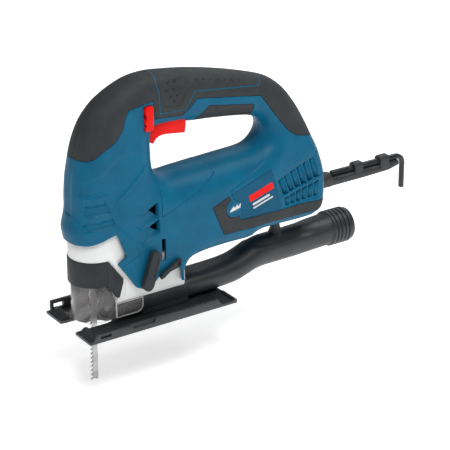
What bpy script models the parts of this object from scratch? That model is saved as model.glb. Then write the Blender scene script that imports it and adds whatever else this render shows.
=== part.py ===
"""Corded jigsaw with a D-shaped handle.

Frame: origin at the centre of the sole's underside, -X is the cutting direction, +Z is up,
-Y is the left side. Everything is drawn in millimetres measured from the front edge of the
base plate (x), the middle of the tool (y) and the sole (z), and then set down in metres.
"""

import math

import bmesh
import bpy
import numpy as np
from mathutils import Matrix

# Driving dimensions, in millimetres
BASE_L = 158.0
BASE_W = 79.0
SHEET = 2.5
RAIL_H = 8.5
NOTCH_HALF = 12.5
NOTCH_L = 45.0
WALL = 2.6
RUBBER = 2.0
GAP = 0.35
FLOOR_GAP = 0.8
HEAD_R = 23.3
STROKE = 26.0
PLUNGER_X = 29.0
PLUNGER_R = 4.5
BLADE_BACK_X = 30.0
BLADE_TIP_Z = -58.5
BLADE_T = 1.2
GEAR_Z = 113.0
GEAR_TEETH = 40
PINION_TEETH = 8
MODULE = 0.85
MOTOR_Z = GEAR_Z - MODULE * (GEAR_TEETH + PINION_TEETH) / 2 - 0.1
TILT_R = 31.3
SADDLE_HALF = 17.8
CLAMP_X = 108.0
KEY_AF = 5.0
KEY_Z = 84.6

MM = 0.001


# ------------------------------------------------------------------ scene and materials

def clear_scene():
    for obj in list(bpy.data.objects):
        bpy.data.objects.remove(obj, do_unlink=True)
    for old in list(bpy.data.collections):
        bpy.data.collections.remove(old)


def new_collection(name, hidden=False):
    made = bpy.data.collections.new(name)
    bpy.context.scene.collection.children.link(made)
    made.hide_render = hidden
    return made


clear_scene()
TOOL = new_collection("jigsaw")
CUTTERS = new_collection("cutters", hidden=True)
MATERIALS = {}


def material(name, colour, roughness, metallic=0.0):
    if name not in MATERIALS:
        made = bpy.data.materials.new(name)
        made.use_nodes = True
        shader = made.node_tree.nodes["Principled BSDF"]
        shader.inputs["Base Color"].default_value = (*colour, 1.0)
        shader.inputs["Roughness"].default_value = roughness
        shader.inputs["Metallic"].default_value = metallic
        MATERIALS[name] = made
    return MATERIALS[name]


BLUE = material("blue_nylon", (0.008, 0.118, 0.255), 0.42)
PLATE_BLUE = material("plate_blue", (0.015, 0.15, 0.31), 0.35)
SOFT = material("soft_rubber", (0.045, 0.047, 0.051), 0.7)
SILVER = material("cast_aluminium", (0.72, 0.71, 0.69), 0.38, 0.3)
ANTHRACITE = material("anthracite_plastic", (0.05, 0.058, 0.065), 0.55)
RED = material("red_plastic", (0.8, 0.02, 0.012), 0.35)
BLACK = material("black_plastic", (0.02, 0.021, 0.023), 0.5)
CLEAR = material("clear_plastic", (0.85, 0.87, 0.88), 0.08)
STEEL = material("bright_steel", (0.62, 0.62, 0.61), 0.3, 1.0)
DARK_STEEL = material("dark_steel", (0.12, 0.12, 0.125), 0.4, 1.0)
COPPER = material("copper", (0.75, 0.32, 0.16), 0.35, 1.0)
BRONZE = material("sintered_bronze", (0.55, 0.36, 0.16), 0.5, 1.0)
BRASS = material("brass", (0.78, 0.57, 0.2), 0.3, 1.0)
CARBON = material("carbon", (0.03, 0.03, 0.03), 0.8)
WHITE = material("white_plastic", (0.7, 0.7, 0.68), 0.5)


# ------------------------------------------------------------------ shape helpers

def to_metres(points):
    """Front-edge millimetres to the model's metres."""
    return [((x - BASE_L / 2) * MM, y * MM, z * MM) for x, y, z in points]


def add_mesh(name, points, faces, mat=None, smooth=False):
    mesh = bpy.data.meshes.new(name)
    mesh.from_pydata(to_metres(points), [], [list(face) for face in faces])
    mesh.update()
    turned = bmesh.new()
    turned.from_mesh(mesh)
    bmesh.ops.recalc_face_normals(turned, faces=turned.faces)
    turned.to_mesh(mesh)
    turned.free()
    obj = bpy.data.objects.new(name, mesh)
    if mat is None:
        CUTTERS.objects.link(obj)
        obj.hide_render = True
        obj.display_type = "WIRE"
    else:
        TOOL.objects.link(obj)
        mesh.materials.append(mat)
    if smooth:
        for face in mesh.polygons:
            face.use_smooth = True
    return obj


def prism(name, outline, low, high, axis, mat=None):
    """An outline pulled from low to high along an axis. Its points are the other two axes in order."""
    count = len(outline)
    place = {
        "x": lambda a, b, c: (c, a, b),
        "y": lambda a, b, c: (a, c, b),
        "z": lambda a, b, c: (a, b, c),
    }[axis]
    points = [place(a, b, low) for a, b in outline] + [place(a, b, high) for a, b in outline]
    faces = [tuple(range(count)), tuple(range(2 * count - 1, count - 1, -1))]
    faces += [(i, (i + 1) % count, (i + 1) % count + count, i + count) for i in range(count)]
    return add_mesh(name, points, faces, mat)


def block(name, x, y, z, mat=None):
    return prism(name, [(x[0], y[0]), (x[1], y[0]), (x[1], y[1]), (x[0], y[1])], z[0], z[1], "z", mat)


def turned_piece(name, profile, axis, centre, steps, mat=None, smooth=True):
    """A profile of (along, radius) turned about an axis. A radius of 0 closes an end."""
    points = []
    rings = []
    for along, radius in profile:
        if radius <= 0:
            rings.append([len(points)])
            points.append((along, 0.0, 0.0))
            continue
        rings.append(list(range(len(points), len(points) + steps)))
        for i in range(steps):
            angle = 2 * math.pi * (i + 0.5) / steps
            points.append((along, radius * math.cos(angle), radius * math.sin(angle)))
    faces = []
    count = len(rings)
    closed_loop = profile[0][1] > 0 and profile[-1][1] > 0
    for k in range(count if closed_loop else count - 1):
        a, b = rings[k], rings[(k + 1) % count]
        for i in range(steps):
            j = (i + 1) % steps
            if len(a) == 1 and len(b) > 1:
                faces.append((a[0], b[i], b[j]))
            elif len(b) == 1 and len(a) > 1:
                faces.append((a[i], b[0], a[j]))
            elif len(a) > 1:
                faces.append((a[i], b[i], b[j], a[j]))
    cx, cy, cz = centre
    turn = {
        "x": lambda p: (cx + p[0], cy + p[1], cz + p[2]),
        "y": lambda p: (cx + p[2], cy + p[0], cz + p[1]),
        "z": lambda p: (cx + p[1], cy + p[2], cz + p[0]),
    }[axis]
    return add_mesh(name, [turn(p) for p in points], faces, mat, smooth)


def rod(name, axis, centre, radius, low, high, steps=24, mat=None):
    return turned_piece(name, [(low, 0), (low, radius), (high, radius), (high, 0)], axis, centre, steps, mat)


def ring(name, axis, centre, inner, outer, low, high, steps=24, mat=None):
    profile = [(low, inner), (low, outer), (high, outer), (high, inner)]
    return turned_piece(name, profile, axis, centre, steps, mat)


def boolean(obj, other, operation="DIFFERENCE"):
    made = obj.modifiers.new(f"{operation.lower()}_{other.name}"[:60], "BOOLEAN")
    made.operation = operation
    made.object = other
    made.solver = "EXACT"
    return obj


def cut(obj, *others):
    for other in others:
        boolean(obj, other, "DIFFERENCE")
    return obj


def join(obj, *others):
    for other in others:
        boolean(obj, other, "UNION")
    return obj


def keep(obj, *others):
    for other in others:
        boolean(obj, other, "INTERSECT")
    return obj


def copy_of(obj, name, mat=None):
    made = obj.copy()
    made.data = obj.data.copy()
    made.name = name
    made.data.name = name
    if mat is None:
        CUTTERS.objects.link(made)
        made.hide_render = True
        made.display_type = "WIRE"
    else:
        TOOL.objects.link(made)
        made.hide_render = False
        made.display_type = "TEXTURED"
        made.data.materials.clear()
        made.data.materials.append(mat)
    return made


def baked(obj):
    """The object's modifiers made part of its mesh, so that later cuts are quick."""
    graph = bpy.context.evaluated_depsgraph_get()
    mesh = bpy.data.meshes.new_from_object(obj.evaluated_get(graph))
    obj.modifiers.clear()
    obj.data = mesh
    return obj


def arc(cx, cy, radius, start, end, steps):
    """Points on an arc, angles in degrees."""
    angles = [math.radians(start + (end - start) * i / steps) for i in range(steps + 1)]
    return [(cx + radius * math.cos(a), cy + radius * math.sin(a)) for a in angles]


def smooth_loop(points, per_span):
    """A closed Catmull-Rom curve through the points."""
    out = []
    count = len(points)
    for i in range(count):
        p0, p1, p2, p3 = (np.array(points[(i + k - 1) % count], float) for k in range(4))
        for s in range(per_span):
            t = s / per_span
            out.append(0.5 * (2 * p1 + (p2 - p0) * t + (2 * p0 - 5 * p1 + 4 * p2 - p3) * t * t
                              + (3 * p1 - p0 - 3 * p2 + p3) * t ** 3))
    return np.array(out)


# ------------------------------------------------------------------ the housing as a field

# The housing seen from the side: (x, z) round its outside, then round the hand hole.
OUTSIDE = [
    (4.2, 60), (4.2, 76), (2.6, 88), (1.0, 98), (2.9, 107), (4.5, 116), (4.8, 130), (6.9, 152.8),
    (9.7, 167.7), (14.2, 182.4), (21.5, 197), (33, 210), (43.5, 217.3), (52, 221.8), (60.1, 225.2),
    (68.1, 227.8), (78, 229.8), (91.3, 230.2), (107.7, 228.1), (124.4, 225.5), (141.2, 222.3),
    (158.2, 218.4), (175.3, 213.9), (192.6, 208.7), (208, 203.5), (217, 199.3), (224.5, 194),
    (231.5, 187.5), (238.5, 179), (246.3, 167.5), (254.6, 152.2), (260.5, 139), (266, 126.5),
    (270.5, 113), (273.4, 100), (274.4, 84), (272.6, 68), (267, 58.8), (258, 54.6), (245, 53.8),
    (222, 53.8), (203, 53.8), (194, 52.2), (186, 49), (170, 48.6), (150, 48.6), (128, 48.6),
    (118.5, 46.8), (113.6, 41.5), (112.5, 34), (112.5, 22), (110, 10), (60, 8), (20, 8), (6, 14),
    (4.2, 40),
]
HAND_HOLE = [
    (85, 150), (84.8, 160), (85, 170), (87.5, 176.5), (94, 178.8), (108, 178.6), (120, 177.2),
    (128.7, 175.6), (146.3, 174), (163.8, 172), (181.8, 169.5), (193, 167.2), (202, 163),
    (207.5, 156), (208.4, 149.5), (205.6, 142.5), (199.4, 137.6), (190, 135.6), (171.6, 134.8),
    (145, 133.6), (118.9, 132.4), (103, 131.6), (93, 133.6), (87, 140),
]
# Half width and edge rounding of the housing round these points: (x, z, half width, rounding).
SECTIONS = [
    (28, 60, 23.8, 24), (26, 100, 24, 24), (26, 130, 24, 24), (27, 160, 24, 24), (36, 185, 23, 23),
    (48, 203, 21.5, 22), (62, 214, 20, 20), (90, 204, 19, 21), (130, 200, 18.5, 21),
    (170, 192, 18.5, 20), (202, 184, 19, 20), (225, 165, 20, 19), (238, 148, 22, 19),
    (66, 180, 21.5, 20), (66, 155, 24, 22), (68, 130, 27, 26), (58, 105, 27, 26), (62, 75, 29, 26),
    (60, 45, 29, 24), (95, 105, 29, 28), (130, 122, 28.5, 27), (185, 122, 28.5, 27),
    (150, 95, 29, 25), (200, 95, 29, 24), (105, 70, 29, 20), (140, 65, 29, 20), (200, 70, 29, 18),
    (106, 40, 29, 5), (118, 50, 28.5, 9), (222, 128, 26, 22), (248, 120, 26.5, 15),
    (258, 95, 27, 14), (255, 68, 27, 14),
]
SPREAD = 15.0
ROUNDNESS = 2.2


def distance_in_plane(x, z, outline):
    """Distance to the outline and whether each point is inside it."""
    nearest = np.full(x.shape, 1e9)
    inside = np.zeros(x.shape, bool)
    for (ax, az), (bx, bz) in zip(outline, np.roll(outline, -1, axis=0)):
        ex, ez = bx - ax, bz - az
        t = np.clip(((x - ax) * ex + (z - az) * ez) / (ex * ex + ez * ez + 1e-12), 0, 1)
        nearest = np.minimum(nearest, np.hypot(x - ax - t * ex, z - az - t * ez))
        crosses = ((az > z) != (bz > z)) & (x < (bx - ax) * (z - az) / (bz - az + 1e-12) + ax)
        inside ^= crosses
    return nearest, inside


def side_distance(x, z):
    """Signed distance to the housing's side outline, negative in the material."""
    out, in_out = distance_in_plane(x, z, smooth_loop(OUTSIDE, 3))
    hole, in_hole = distance_in_plane(x, z, smooth_loop(HAND_HOLE, 3))
    return np.maximum(np.where(in_out, -out, out), np.where(in_hole, hole, -hole))


def section_at(x, z):
    weight_sum = np.zeros(x.shape)
    width = np.zeros(x.shape)
    rounding = np.zeros(x.shape)
    for px, pz, w, r in SECTIONS:
        far = (x - px) ** 2 + (z - pz) ** 2
        weight = np.exp(-far / (2 * SPREAD ** 2)) + 1e-4 / (1 + far)
        weight_sum += weight
        width += weight * w
        rounding += weight * r
    return width / weight_sum, rounding / weight_sum


def housing_field(xs, ys, zs, inset):
    """Below zero inside the housing shrunk by inset millimetres, over the grid of xs, ys and zs."""
    x, z = np.meshgrid(xs, zs, indexing="ij")
    d = side_distance(x, z)
    w, r = section_at(x, z)
    u = np.maximum(0, 1 + (d + inset) / np.maximum(r - 0.8 * inset, 1.5))
    v = np.abs(ys)[None, :, None] / (w - inset)[:, None, :]
    return (u[:, None, :] ** ROUNDNESS + v ** ROUNDNESS) ** (1 / ROUNDNESS) - 1


def surface_nets(values, origin, step):
    """Quads over the zero level of a grid of values."""
    inside = values < 0
    shape = np.array(values.shape) - 1
    total = np.zeros((*shape, 3))
    count = np.zeros(shape)
    corner = [(i, j, k) for i in (0, 1) for j in (0, 1) for k in (0, 1)]
    for a in corner:
        for axis in range(3):
            if a[axis]:
                continue
            b = list(a)
            b[axis] = 1
            va = values[a[0]:a[0] + shape[0], a[1]:a[1] + shape[1], a[2]:a[2] + shape[2]]
            vb = values[b[0]:b[0] + shape[0], b[1]:b[1] + shape[1], b[2]:b[2] + shape[2]]
            crossing = (va < 0) != (vb < 0)
            t = np.where(crossing, va / np.where(va == vb, 1, va - vb), 0)
            for k in range(3):
                total[..., k] += np.where(crossing, a[k] + (t if k == axis else 0), 0)
            count += crossing
    used = count > 0
    index = np.full(shape, -1)
    index[used] = np.arange(used.sum())
    cell = np.argwhere(used)
    points = (cell + total[used] / count[used][:, None]) * step + np.array(origin)
    faces = []
    for axis in range(3):
        one, two = [k for k in range(3) if k != axis]
        low = [slice(1, -1)] * 3
        low[axis] = slice(0, -1)
        high = list(low)
        high[axis] = slice(1, None)
        changes = inside[tuple(low)] != inside[tuple(high)]
        for i, j, k in np.argwhere(changes):
            base = [i + 1, j + 1, k + 1]
            base[axis] -= 1
            quad = []
            for da, db in ((0, 0), (1, 0), (1, 1), (0, 1)):
                c = list(base)
                c[one] -= da
                c[two] -= db
                quad.append(index[tuple(c)])
            faces.append(quad)
    return points, faces


def housing_solid(name, inset, step, keep_ratio):
    xs = np.arange(-2.0 - step, 278.0 + step, step)
    ys = np.arange(-32.0, 32.01, step)
    zs = np.arange(4.0 - step, 234.0 + step, step)
    points, faces = surface_nets(housing_field(xs, ys, zs, inset), (xs[0], ys[0], zs[0]), step)
    obj = add_mesh(name, points, faces)
    thin = obj.modifiers.new("fewer_faces", "DECIMATE")
    thin.ratio = keep_ratio
    return baked(obj)


OUTER = housing_solid("outer_skin", 0.0, 4.0, 0.15)
UNDER = housing_solid("under_rubber", RUBBER, 4.0, 0.11)
FLOOR = housing_solid("rubber_recess", RUBBER + FLOOR_GAP, 4.0, 0.11)
HOLLOW = housing_solid("hollow", RUBBER + FLOOR_GAP + WALL, 4.0, 0.09)


# ------------------------------------------------------------------ regions of the side view

RUBBER_LINE = [
    (-10, 165), (14, 165), (20, 167.5), (27.7, 173), (41.5, 180), (48.8, 188.3), (52.5, 199.5),
    (56.5, 205.5), (81.8, 208.9), (83.3, 191.1), (115, 186.9), (128.9, 201), (197.5, 189.7),
    (202.9, 183), (226.3, 150.8), (236, 143.8), (262, 138), (300, 136),
]
RUBBER_REGION = RUBBER_LINE + [(300, 250), (-10, 250)]
PAD_REGION = [
    (91, 250), (90, 229), (87.8, 222), (89.3, 214), (89.5, 195.5), (116.4, 193.2), (127.1, 209),
    (197.8, 199.4), (203.6, 205.2), (212, 220), (212, 250),
]
FINGER_REGION = [(128.5, 160), (130, 180), (141.8, 192), (190.8, 183.2), (193, 160)]
BUMPER_REGION = [
    (138.2, 96.4), (156.2, 103.5), (163, 92), (170, 76.8), (237, 76), (263, 74.5), (290, 74),
    (290, 63.5), (239, 65), (151, 66.5),
]
PLATE_REGION = [(174.5, 82), (168, 103), (180, 111.5), (206, 103.5), (214, 82)]
BADGE = (162.9, 90.8, 6.6)
SCREWS = [(62, 188), (36, 172), (224, 146), (120, 60), (200, 62), (240, 132)]
HEAD_OPENING = [
    (-20, 85), (12, 85.5), (25.8, 89), (38.5, 93), (47.1, 70.9), (38.9, 64), (50.6, 46.6),
    (56.1, 38.3), (62, 35.4), (70, 35.4), (76, 39), (82, 44), (97, 49.5), (102.4, 49.5),
    (107.6, 31.5), (109.4, 31.5), (111, 36), (125, 30), (125, 0), (-20, 0),
]
FRONT_VENTS = [
    [(71.1, 110.0), (80.3, 114.8), (80.2, 101.8)],
    [(71.4, 93.4), (81.0, 98.2), (80.9, 86.8)],
]


def grown(outline, by):
    """The outline moved out by a distance, or in if it is negative."""
    points = [np.array(p, float) for p in outline]
    area = sum(a[0] * b[1] - b[0] * a[1] for a, b in zip(points, points[1:] + points[:1]))
    side = 1 if area > 0 else -1
    out = []
    for i, here in enumerate(points):
        before, after = points[i - 1], points[(i + 1) % len(points)]
        n1 = np.array([(here - before)[1], -(here - before)[0]])
        n2 = np.array([(after - here)[1], -(after - here)[0]])
        n1 /= np.linalg.norm(n1)
        n2 /= np.linalg.norm(n2)
        out.append(tuple(here + side * by * (n1 + n2) / max(1 + n1 @ n2, 0.35)))
    return out


def recess_cutter(name, outline, y0, y1):
    """Takes the soft insert's thickness off the housing inside a side-view outline."""
    obj = prism(name, outline, y0, y1, "y")
    cut(obj, FLOOR)
    return baked(obj)


def insert(name, outline, y0, y1, mat):
    """A soft insert lying flush in its recess."""
    obj = copy_of(OUTER, name, mat)
    keep(obj, prism(f"{name}_edge", outline, y0, y1, "y"))
    cut(obj, UNDER)
    return obj


# ------------------------------------------------------------------ housing halves and inserts

def head_plan(radius, half, rear, steps=10):
    """The head from above: a rounded front round the plunger's line, and straight sides to the rear."""
    front = [(PLUNGER_X - 0.5 + x * radius, y * half) for x, y in arc(0, 0, 1, 90, 270, steps)]
    return [(rear, half)] + front + [(rear, -half)]


def head_clearance():
    """Room inside the housing for the metal gear head."""
    side = [(0, 0), (0, 84.8), (67.5, 84.8), (67.5, 66.5), (111.7, 58.5), (111.7, 0)]
    obj = prism("head_clearance", head_plan(HEAD_R + 0.4, HEAD_R + 0.4, 111.7, 14), 0, 84.8, "z")
    keep(obj, prism("head_clearance_side", side, -40, 40, "y"))
    join(obj, prism("tower_clearance", head_plan(15.4, 18.6, 63.9, 10), 80, 152.4, "z"))
    join(obj, prism("shoulder_clearance", head_plan(21.0, 21.0, 50.4, 14), 80, 95.4, "z"))
    join(obj, block("bell_clearance", (44.8, 64.1), (-20.4, 20.4), (79, 134.4)))
    return baked(obj)


HEAD_CLEARANCE = head_clearance()


def louvre_outlines():
    """Slanted rear louvres, two rows of six, each four corners in the side view."""
    found = []
    for k in range(6):
        s0 = (k + 0.10) / 6
        s1 = (k + 0.84) / 6
        for (low0, low1, high0, high1) in (
            ((217.9, 89.2), (261.4, 99.0), (211.9, 105.0), (255.3, 120.0)),
            ((220.1, 78.2), (259.8, 79.8), (218.9, 86.4), (261.4, 95.4)),
        ):
            def at(a, b, s):
                return (a[0] + (b[0] - a[0]) * s, a[1] + (b[1] - a[1]) * s)
            found.append([at(low0, low1, s0), at(low0, low1, s1), at(high0, high1, s1),
                          at(high0, high1, s0)])
    return found


def inner_room():
    """The space inside the housing, with the screw posts left standing in it."""
    obj = copy_of(HOLLOW, "inner_room")
    join(obj, HEAD_CLEARANCE)
    for k, (x, z) in enumerate(SCREWS):
        cut(obj, rod(f"screw_post_{k}", "y", (x, 0, z), 5.0, -60, 60, 12))
    return baked(obj)


def near_half():
    """The left half of the housing, before the button slot and the screw holes."""
    obj = copy_of(OUTER, "near_half")
    keep(obj, block("near_side", (-20, 300), (-60, -0.15), (-20, 260)))
    cut(obj, recess_cutter("rubber_cut", RUBBER_REGION, -60, 60))
    cut(obj, recess_cutter("finger_cut", FINGER_REGION, -60, 60))
    cut(obj, recess_cutter("bumper_cut", BUMPER_REGION, -60, -8))
    cut(obj, prism("head_opening", HEAD_OPENING, -60, 60, "y"))
    cut(obj, block("trigger_slot", (80.0, 122.0), (-12.9, 12.9), (163, 200)))
    cut(obj, block("side_slot", (83.4, 87.6), (-40, -20), (57.5, 79.0)))
    cut(obj, rod("cord_hole", "x", (0, 0, 79.5), 8.0, 262, 282, 20))
    for k, vent in enumerate(FRONT_VENTS):
        cut(obj, prism(f"front_vent_{k}", vent, -45, -18, "y"))
    for k, outline in enumerate(louvre_outlines()):
        cut(obj, prism(f"louvre_{k}", outline, -45, -16, "y"))
    cut(obj, prism("plate_cut", grown(PLATE_REGION, GAP), -45, -25.5, "y"))
    cut(obj, rod("badge_cut", "y", (BADGE[0], 0, BADGE[1]), BADGE[2] + GAP, -45, -25.5, 24))
    cut(obj, inner_room())
    return baked(obj)


def mirrored(obj):
    """The object's mesh turned over to the other side of the tool."""
    obj.data.transform(Matrix.Scale(-1, 4, (0, 1, 0)))
    obj.data.flip_normals()
    return obj


def housing_halves():
    half = near_half()
    left = copy_of(half, "housing_left", BLUE)
    cut(left, block("lock_slot", (71.6, 80.6), (-40, -12), (182.5, 205.6)))
    right = mirrored(copy_of(half, "housing_right", BLUE))
    for k, (x, z) in enumerate(SCREWS):
        cut(left, rod(f"pilot_{k}", "y", (x, 0, z), 1.9, -14, 1, 10))
        cut(right, rod(f"screw_hole_{k}", "y", (x, 0, z), 2.3, -1, 40, 10))
        cut(right, rod(f"screw_seat_{k}", "y", (x, 0, z), 4.0, 11.5, 45, 12))
        housing_screw(f"housing_screw_{k + 1}", x, z)


def housing_screw(name, x, z):
    profile = [(-12, 0), (-12, 1.5), (11.8, 1.5), (11.8, 3.5), (14.2, 3.5), (14.2, 1.3), (12.8, 0.9),
               (12.8, 0)]
    turned_piece(name, profile, "y", (x, 0, z), 12, STEEL)


def soft_inserts():
    for name, side in (("grip_rubber_left", -1), ("grip_rubber_right", 1)):
        y0, y1 = sorted((side * 0.15, side * 60))
        obj = insert(name, grown(RUBBER_REGION, -0.3), y0, y1, SOFT)
        cut(obj, prism(f"{name}_pad_gap", grown(PAD_REGION, 0.7), -60, 60, "y"))
    insert("grip_pad", PAD_REGION, -60, 60, SOFT)
    insert("finger_pad", grown(FINGER_REGION, -0.3), -60, 60, SOFT)
    for name, side in (("side_bumper_left", -1), ("side_bumper_right", 1)):
        y0, y1 = sorted((side * 8.3, side * 60))
        obj = insert(name, grown(BUMPER_REGION, -0.3), y0, y1, SOFT)
        cut(obj, rod(f"{name}_badge_gap", "y", (BADGE[0], 0, BADGE[1]), BADGE[2] + 1.2,
                     *sorted((side * 8, side * 45)), 24))
    for tag, side in (("left", -1), ("right", 1)):
        y0, y1 = sorted((side * 25.9, side * 45))
        plate = copy_of(OUTER, f"name_plate_{tag}", PLATE_BLUE)
        keep(plate, prism(f"plate_edge_{tag}", PLATE_REGION, y0, y1, "y"))
        badge = copy_of(OUTER, f"badge_{tag}", WHITE)
        keep(badge, rod(f"badge_edge_{tag}", "y", (BADGE[0], 0, BADGE[1]), BADGE[2], y0, y1, 24))


# ------------------------------------------------------------------ gear head and blade drive

def gear_housing():
    side = [(0, 46.5), (39, 46.5), (39, 20), (111.2, 20), (111.2, 58), (67, 66), (67, 84.4), (0, 84.4)]
    obj = prism("gear_housing", head_plan(HEAD_R, HEAD_R, 111.2, 14), 20, 84.4, "z", SILVER)
    keep(obj, prism("head_side", side, -40, 40, "y"))
    hollow = arc(0, 0, TILT_R, 141, 39, 12)
    section = [(-40, 100), (-40, 30), (-HEAD_R, 30), (-21.8, 24.6)] + [
        (y, z) for y, z in hollow if abs(y) < 19.6] + [(21.8, 24.6), (HEAD_R, 30), (40, 30), (40, 100)]
    keep(obj, prism("head_section", section, -5, 120, "x"))
    tower = prism("head_tower", head_plan(15.0, 18.2, 63.5, 10), 80, 152, "z")
    bell = block("gear_bell", (45.2, 63.5), (-20.0, 20.0), (80, 134))
    shoulder = prism("head_shoulder", head_plan(20.6, 20.6, 50, 14), 80, 95, "z")
    join(obj, tower, bell, shoulder)
    cut(obj, prism("head_room", head_plan(13.4, 16.4, 58.5, 10), 40, 149.8, "z"))
    cut(obj, block("gear_room", (45.0, 58.5), (-18.3, 18.3), (86, 132)))
    cut(obj, rod("roof_hole", "z", (PLUNGER_X, 0, 0), 5.2, 148, 156, 16))
    band_zone = [(-5, 10), (-5, 69.3), (31.5, 69.3), (47.5, 49), (47.5, 10)]
    for side_y in (-1, 1):
        y0, y1 = sorted((side_y * 21.9, side_y * 40))
        cut(obj, prism(f"band_zone_{side_y}", band_zone, y0, y1, "y"))
    front_zone = prism("band_front", head_plan(30, 30, 29.0, 14), 40, 69.3, "z")
    cut(front_zone, prism("band_front_core", head_plan(21.9, 21.9, 40, 14), 30, 80, "z"))
    cut(obj, baked(front_zone))
    cut(obj, block("roller_slot", (36, 48.5), (-9.5, 9.5), (20, 58)))
    cut(obj, rod("bracket_pin_hole", "y", (44, 0, 50), 2.2, -12.5, 12.5, 12))
    cut(obj, block("head_back_room", (51.5, 120), (-17.5, 17.5), (37, 54)))
    cut(obj, rod("bearing_seat", "x", (0, 0, MOTOR_Z), 8.4, 56, 70, 24))
    cut(obj, rod("shaft_pin_seat", "x", (0, 0, GEAR_Z), 3.05, 56, 70, 16))
    return obj


def bushings():
    for name, low, high in (("plunger_bushing_upper", 136.0, 146.0), ("plunger_bushing_lower", 80.0, 89.0)):
        obj = prism(name, head_plan(13.0, 16.0, 39.5, 10), low, high, "z", BRONZE)
        cut(obj, rod(f"{name}_bore", "z", (PLUNGER_X, 0, 0), PLUNGER_R + 0.1, low - 1, high + 1, 24))


def plunger():
    obj = rod("plunger", "z", (PLUNGER_X, 0, 0), PLUNGER_R, 52, 150, 24, STEEL)
    yoke = block("yoke", (28.0, 38.4), (-15.9, 15.9), (104.5, 121.5))
    cut(yoke, block("yoke_slot", (34.4, 45), (-20, 20), (GEAR_Z - 3.4, GEAR_Z + 3.4)))
    join(obj, baked(yoke))
    cut(obj, block("blade_socket", (24.0, 31.0), (-0.9, 0.9), (50, 72)))
    return obj


def blade_clamp():
    ring("blade_clamp", "z", (PLUNGER_X, 0, 0), PLUNGER_R + 0.35, 8.5, 50.5, 66, 24, DARK_STEEL)


def saw_blade():
    back = BLADE_BACK_X
    teeth = []
    pitch = 4.3
    z = BLADE_TIP_Z + 1.5
    while z < 26 - pitch:
        teeth += [(back - 7.6, z), (back - 5.4, z + 0.7)]
        z += pitch
    shank = [(back - 7.6, 26), (back - 6.6, 30), (back - 5.4, 40), (back - 5.4, 70), (back - 2.7, 71),
             (back, 70)]
    outline = [(back - 1.2, BLADE_TIP_Z), (back - 5.0, BLADE_TIP_Z + 2.0), (back - 7.0, BLADE_TIP_Z)]
    outline = outline + teeth + shank + [(back, BLADE_TIP_Z + 1.2)]
    prism("saw_blade", outline, -BLADE_T / 2, BLADE_T / 2, "y", STEEL)


def gear_outline(teeth, phase, centre_y, centre_z):
    """A straight-sided spur gear outline with running clearance, in (y, z)."""
    pitch_r = MODULE * teeth / 2
    out = []
    for k in range(teeth):
        middle = 2 * math.pi * (k + phase) / teeth
        for offset, radius in ((-0.36, pitch_r - 1.05 * MODULE), (-0.13, pitch_r + 0.75 * MODULE),
                               (0.13, pitch_r + 0.75 * MODULE), (0.36, pitch_r - 1.05 * MODULE)):
            angle = middle + offset * 2 * math.pi / teeth
            out.append((centre_y + radius * math.sin(angle), centre_z + radius * math.cos(angle)))
    return out


def gear_train():
    wheel = prism("gear_wheel", gear_outline(GEAR_TEETH, 0.0, 0, GEAR_Z), 46.5, 52.5, "x", STEEL)
    pin = rod("crank_pin", "x", (0, -STROKE / 2, GEAR_Z), 3.0, 38.9, 47, 16)
    join(wheel, pin)
    cut(wheel, rod("wheel_bore", "x", (0, 0, GEAR_Z), 3.08, 30, 60, 20))
    rod("gear_shaft", "x", (0, 0, GEAR_Z), 3.0, 42.5, 63.3, 20, DARK_STEEL)
    weight = [(-9, 71), (9, 71), (12.5, 76), (12.5, 130), (9, 135), (-9, 135), (-12.5, 130), (-12.5, 76)]
    obj = prism("counterweight", weight, 54.0, 57.5, "x", DARK_STEEL)
    cut(obj, block("weight_slot", (50, 60), (-4.2, 4.2), (MOTOR_Z - 17.4, GEAR_Z + 17.4)))
    return obj


def blade_support():
    turned_piece("guide_roller", [(-4.5, 2.1), (-4.5, 6.4), (-1.0, 6.4), (-0.9, 5.6), (0.9, 5.6),
                                  (1.0, 6.4), (4.5, 6.4), (4.5, 2.1)], "y", (36.2, 0, 15), 24, DARK_STEEL)
    rod("roller_pin", "y", (36.2, 0, 15), 2.0, -7.6, 7.6, 16, STEEL)
    arm = arc(36.2, 15.2, 8.6, 150, 378, 14) + [(47.5, 40), (47.5, 55), (42.2, 55), (40.2, 40), (36, 30)]
    obj = prism("roller_bracket", arm, -7.6, 7.6, "y", DARK_STEEL)
    cut(obj, block("fork_gap", (20, 43.4), (-4.9, 4.9), (5, 36)))
    cut(obj, rod("fork_hole", "y", (36.2, 0, 15), 2.02, -10, 10, 16))
    pin = rod("bracket_pin", "y", (44, 0, 50), 2.0, -12.0, 12.0, 12)
    join(obj, pin)


def sds_lever():
    band = prism("sds_lever", head_plan(24.0, 24.0, 30, 14), 44.6, 68.6, "z", ANTHRACITE)
    ears = prism("ears", [(28, 44.6), (28, 68.6), (30.5, 68.0), (45, 48.5), (45, 44.5), (40.8, 30.8),
                          (38.2, 30.8), (30, 42.0)], -24, 24, "y")
    join(band, ears)
    cut(band, prism("band_inside", head_plan(22.25, 22.25, 60, 14), 10, 90, "z"))
    return band


def dust_hood():
    outer = prism("dust_hood", head_plan(22.0, 20.2, 68.0, 14), 8.6, 44.1, "z", CLEAR)
    side = [(0, 8.6), (62, 8.6), (66, 10.5), (68, 14), (68, 23.4), (38.2, 23.4), (38.2, 44.1), (0, 44.1)]
    keep(outer, prism("hood_side", side, -40, 40, "y"))
    inner = prism("hood_inside", head_plan(20.6, 18.8, 80, 14), 0, 60, "z")
    cut(outer, inner)
    return outer


# ------------------------------------------------------------------ motor

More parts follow.
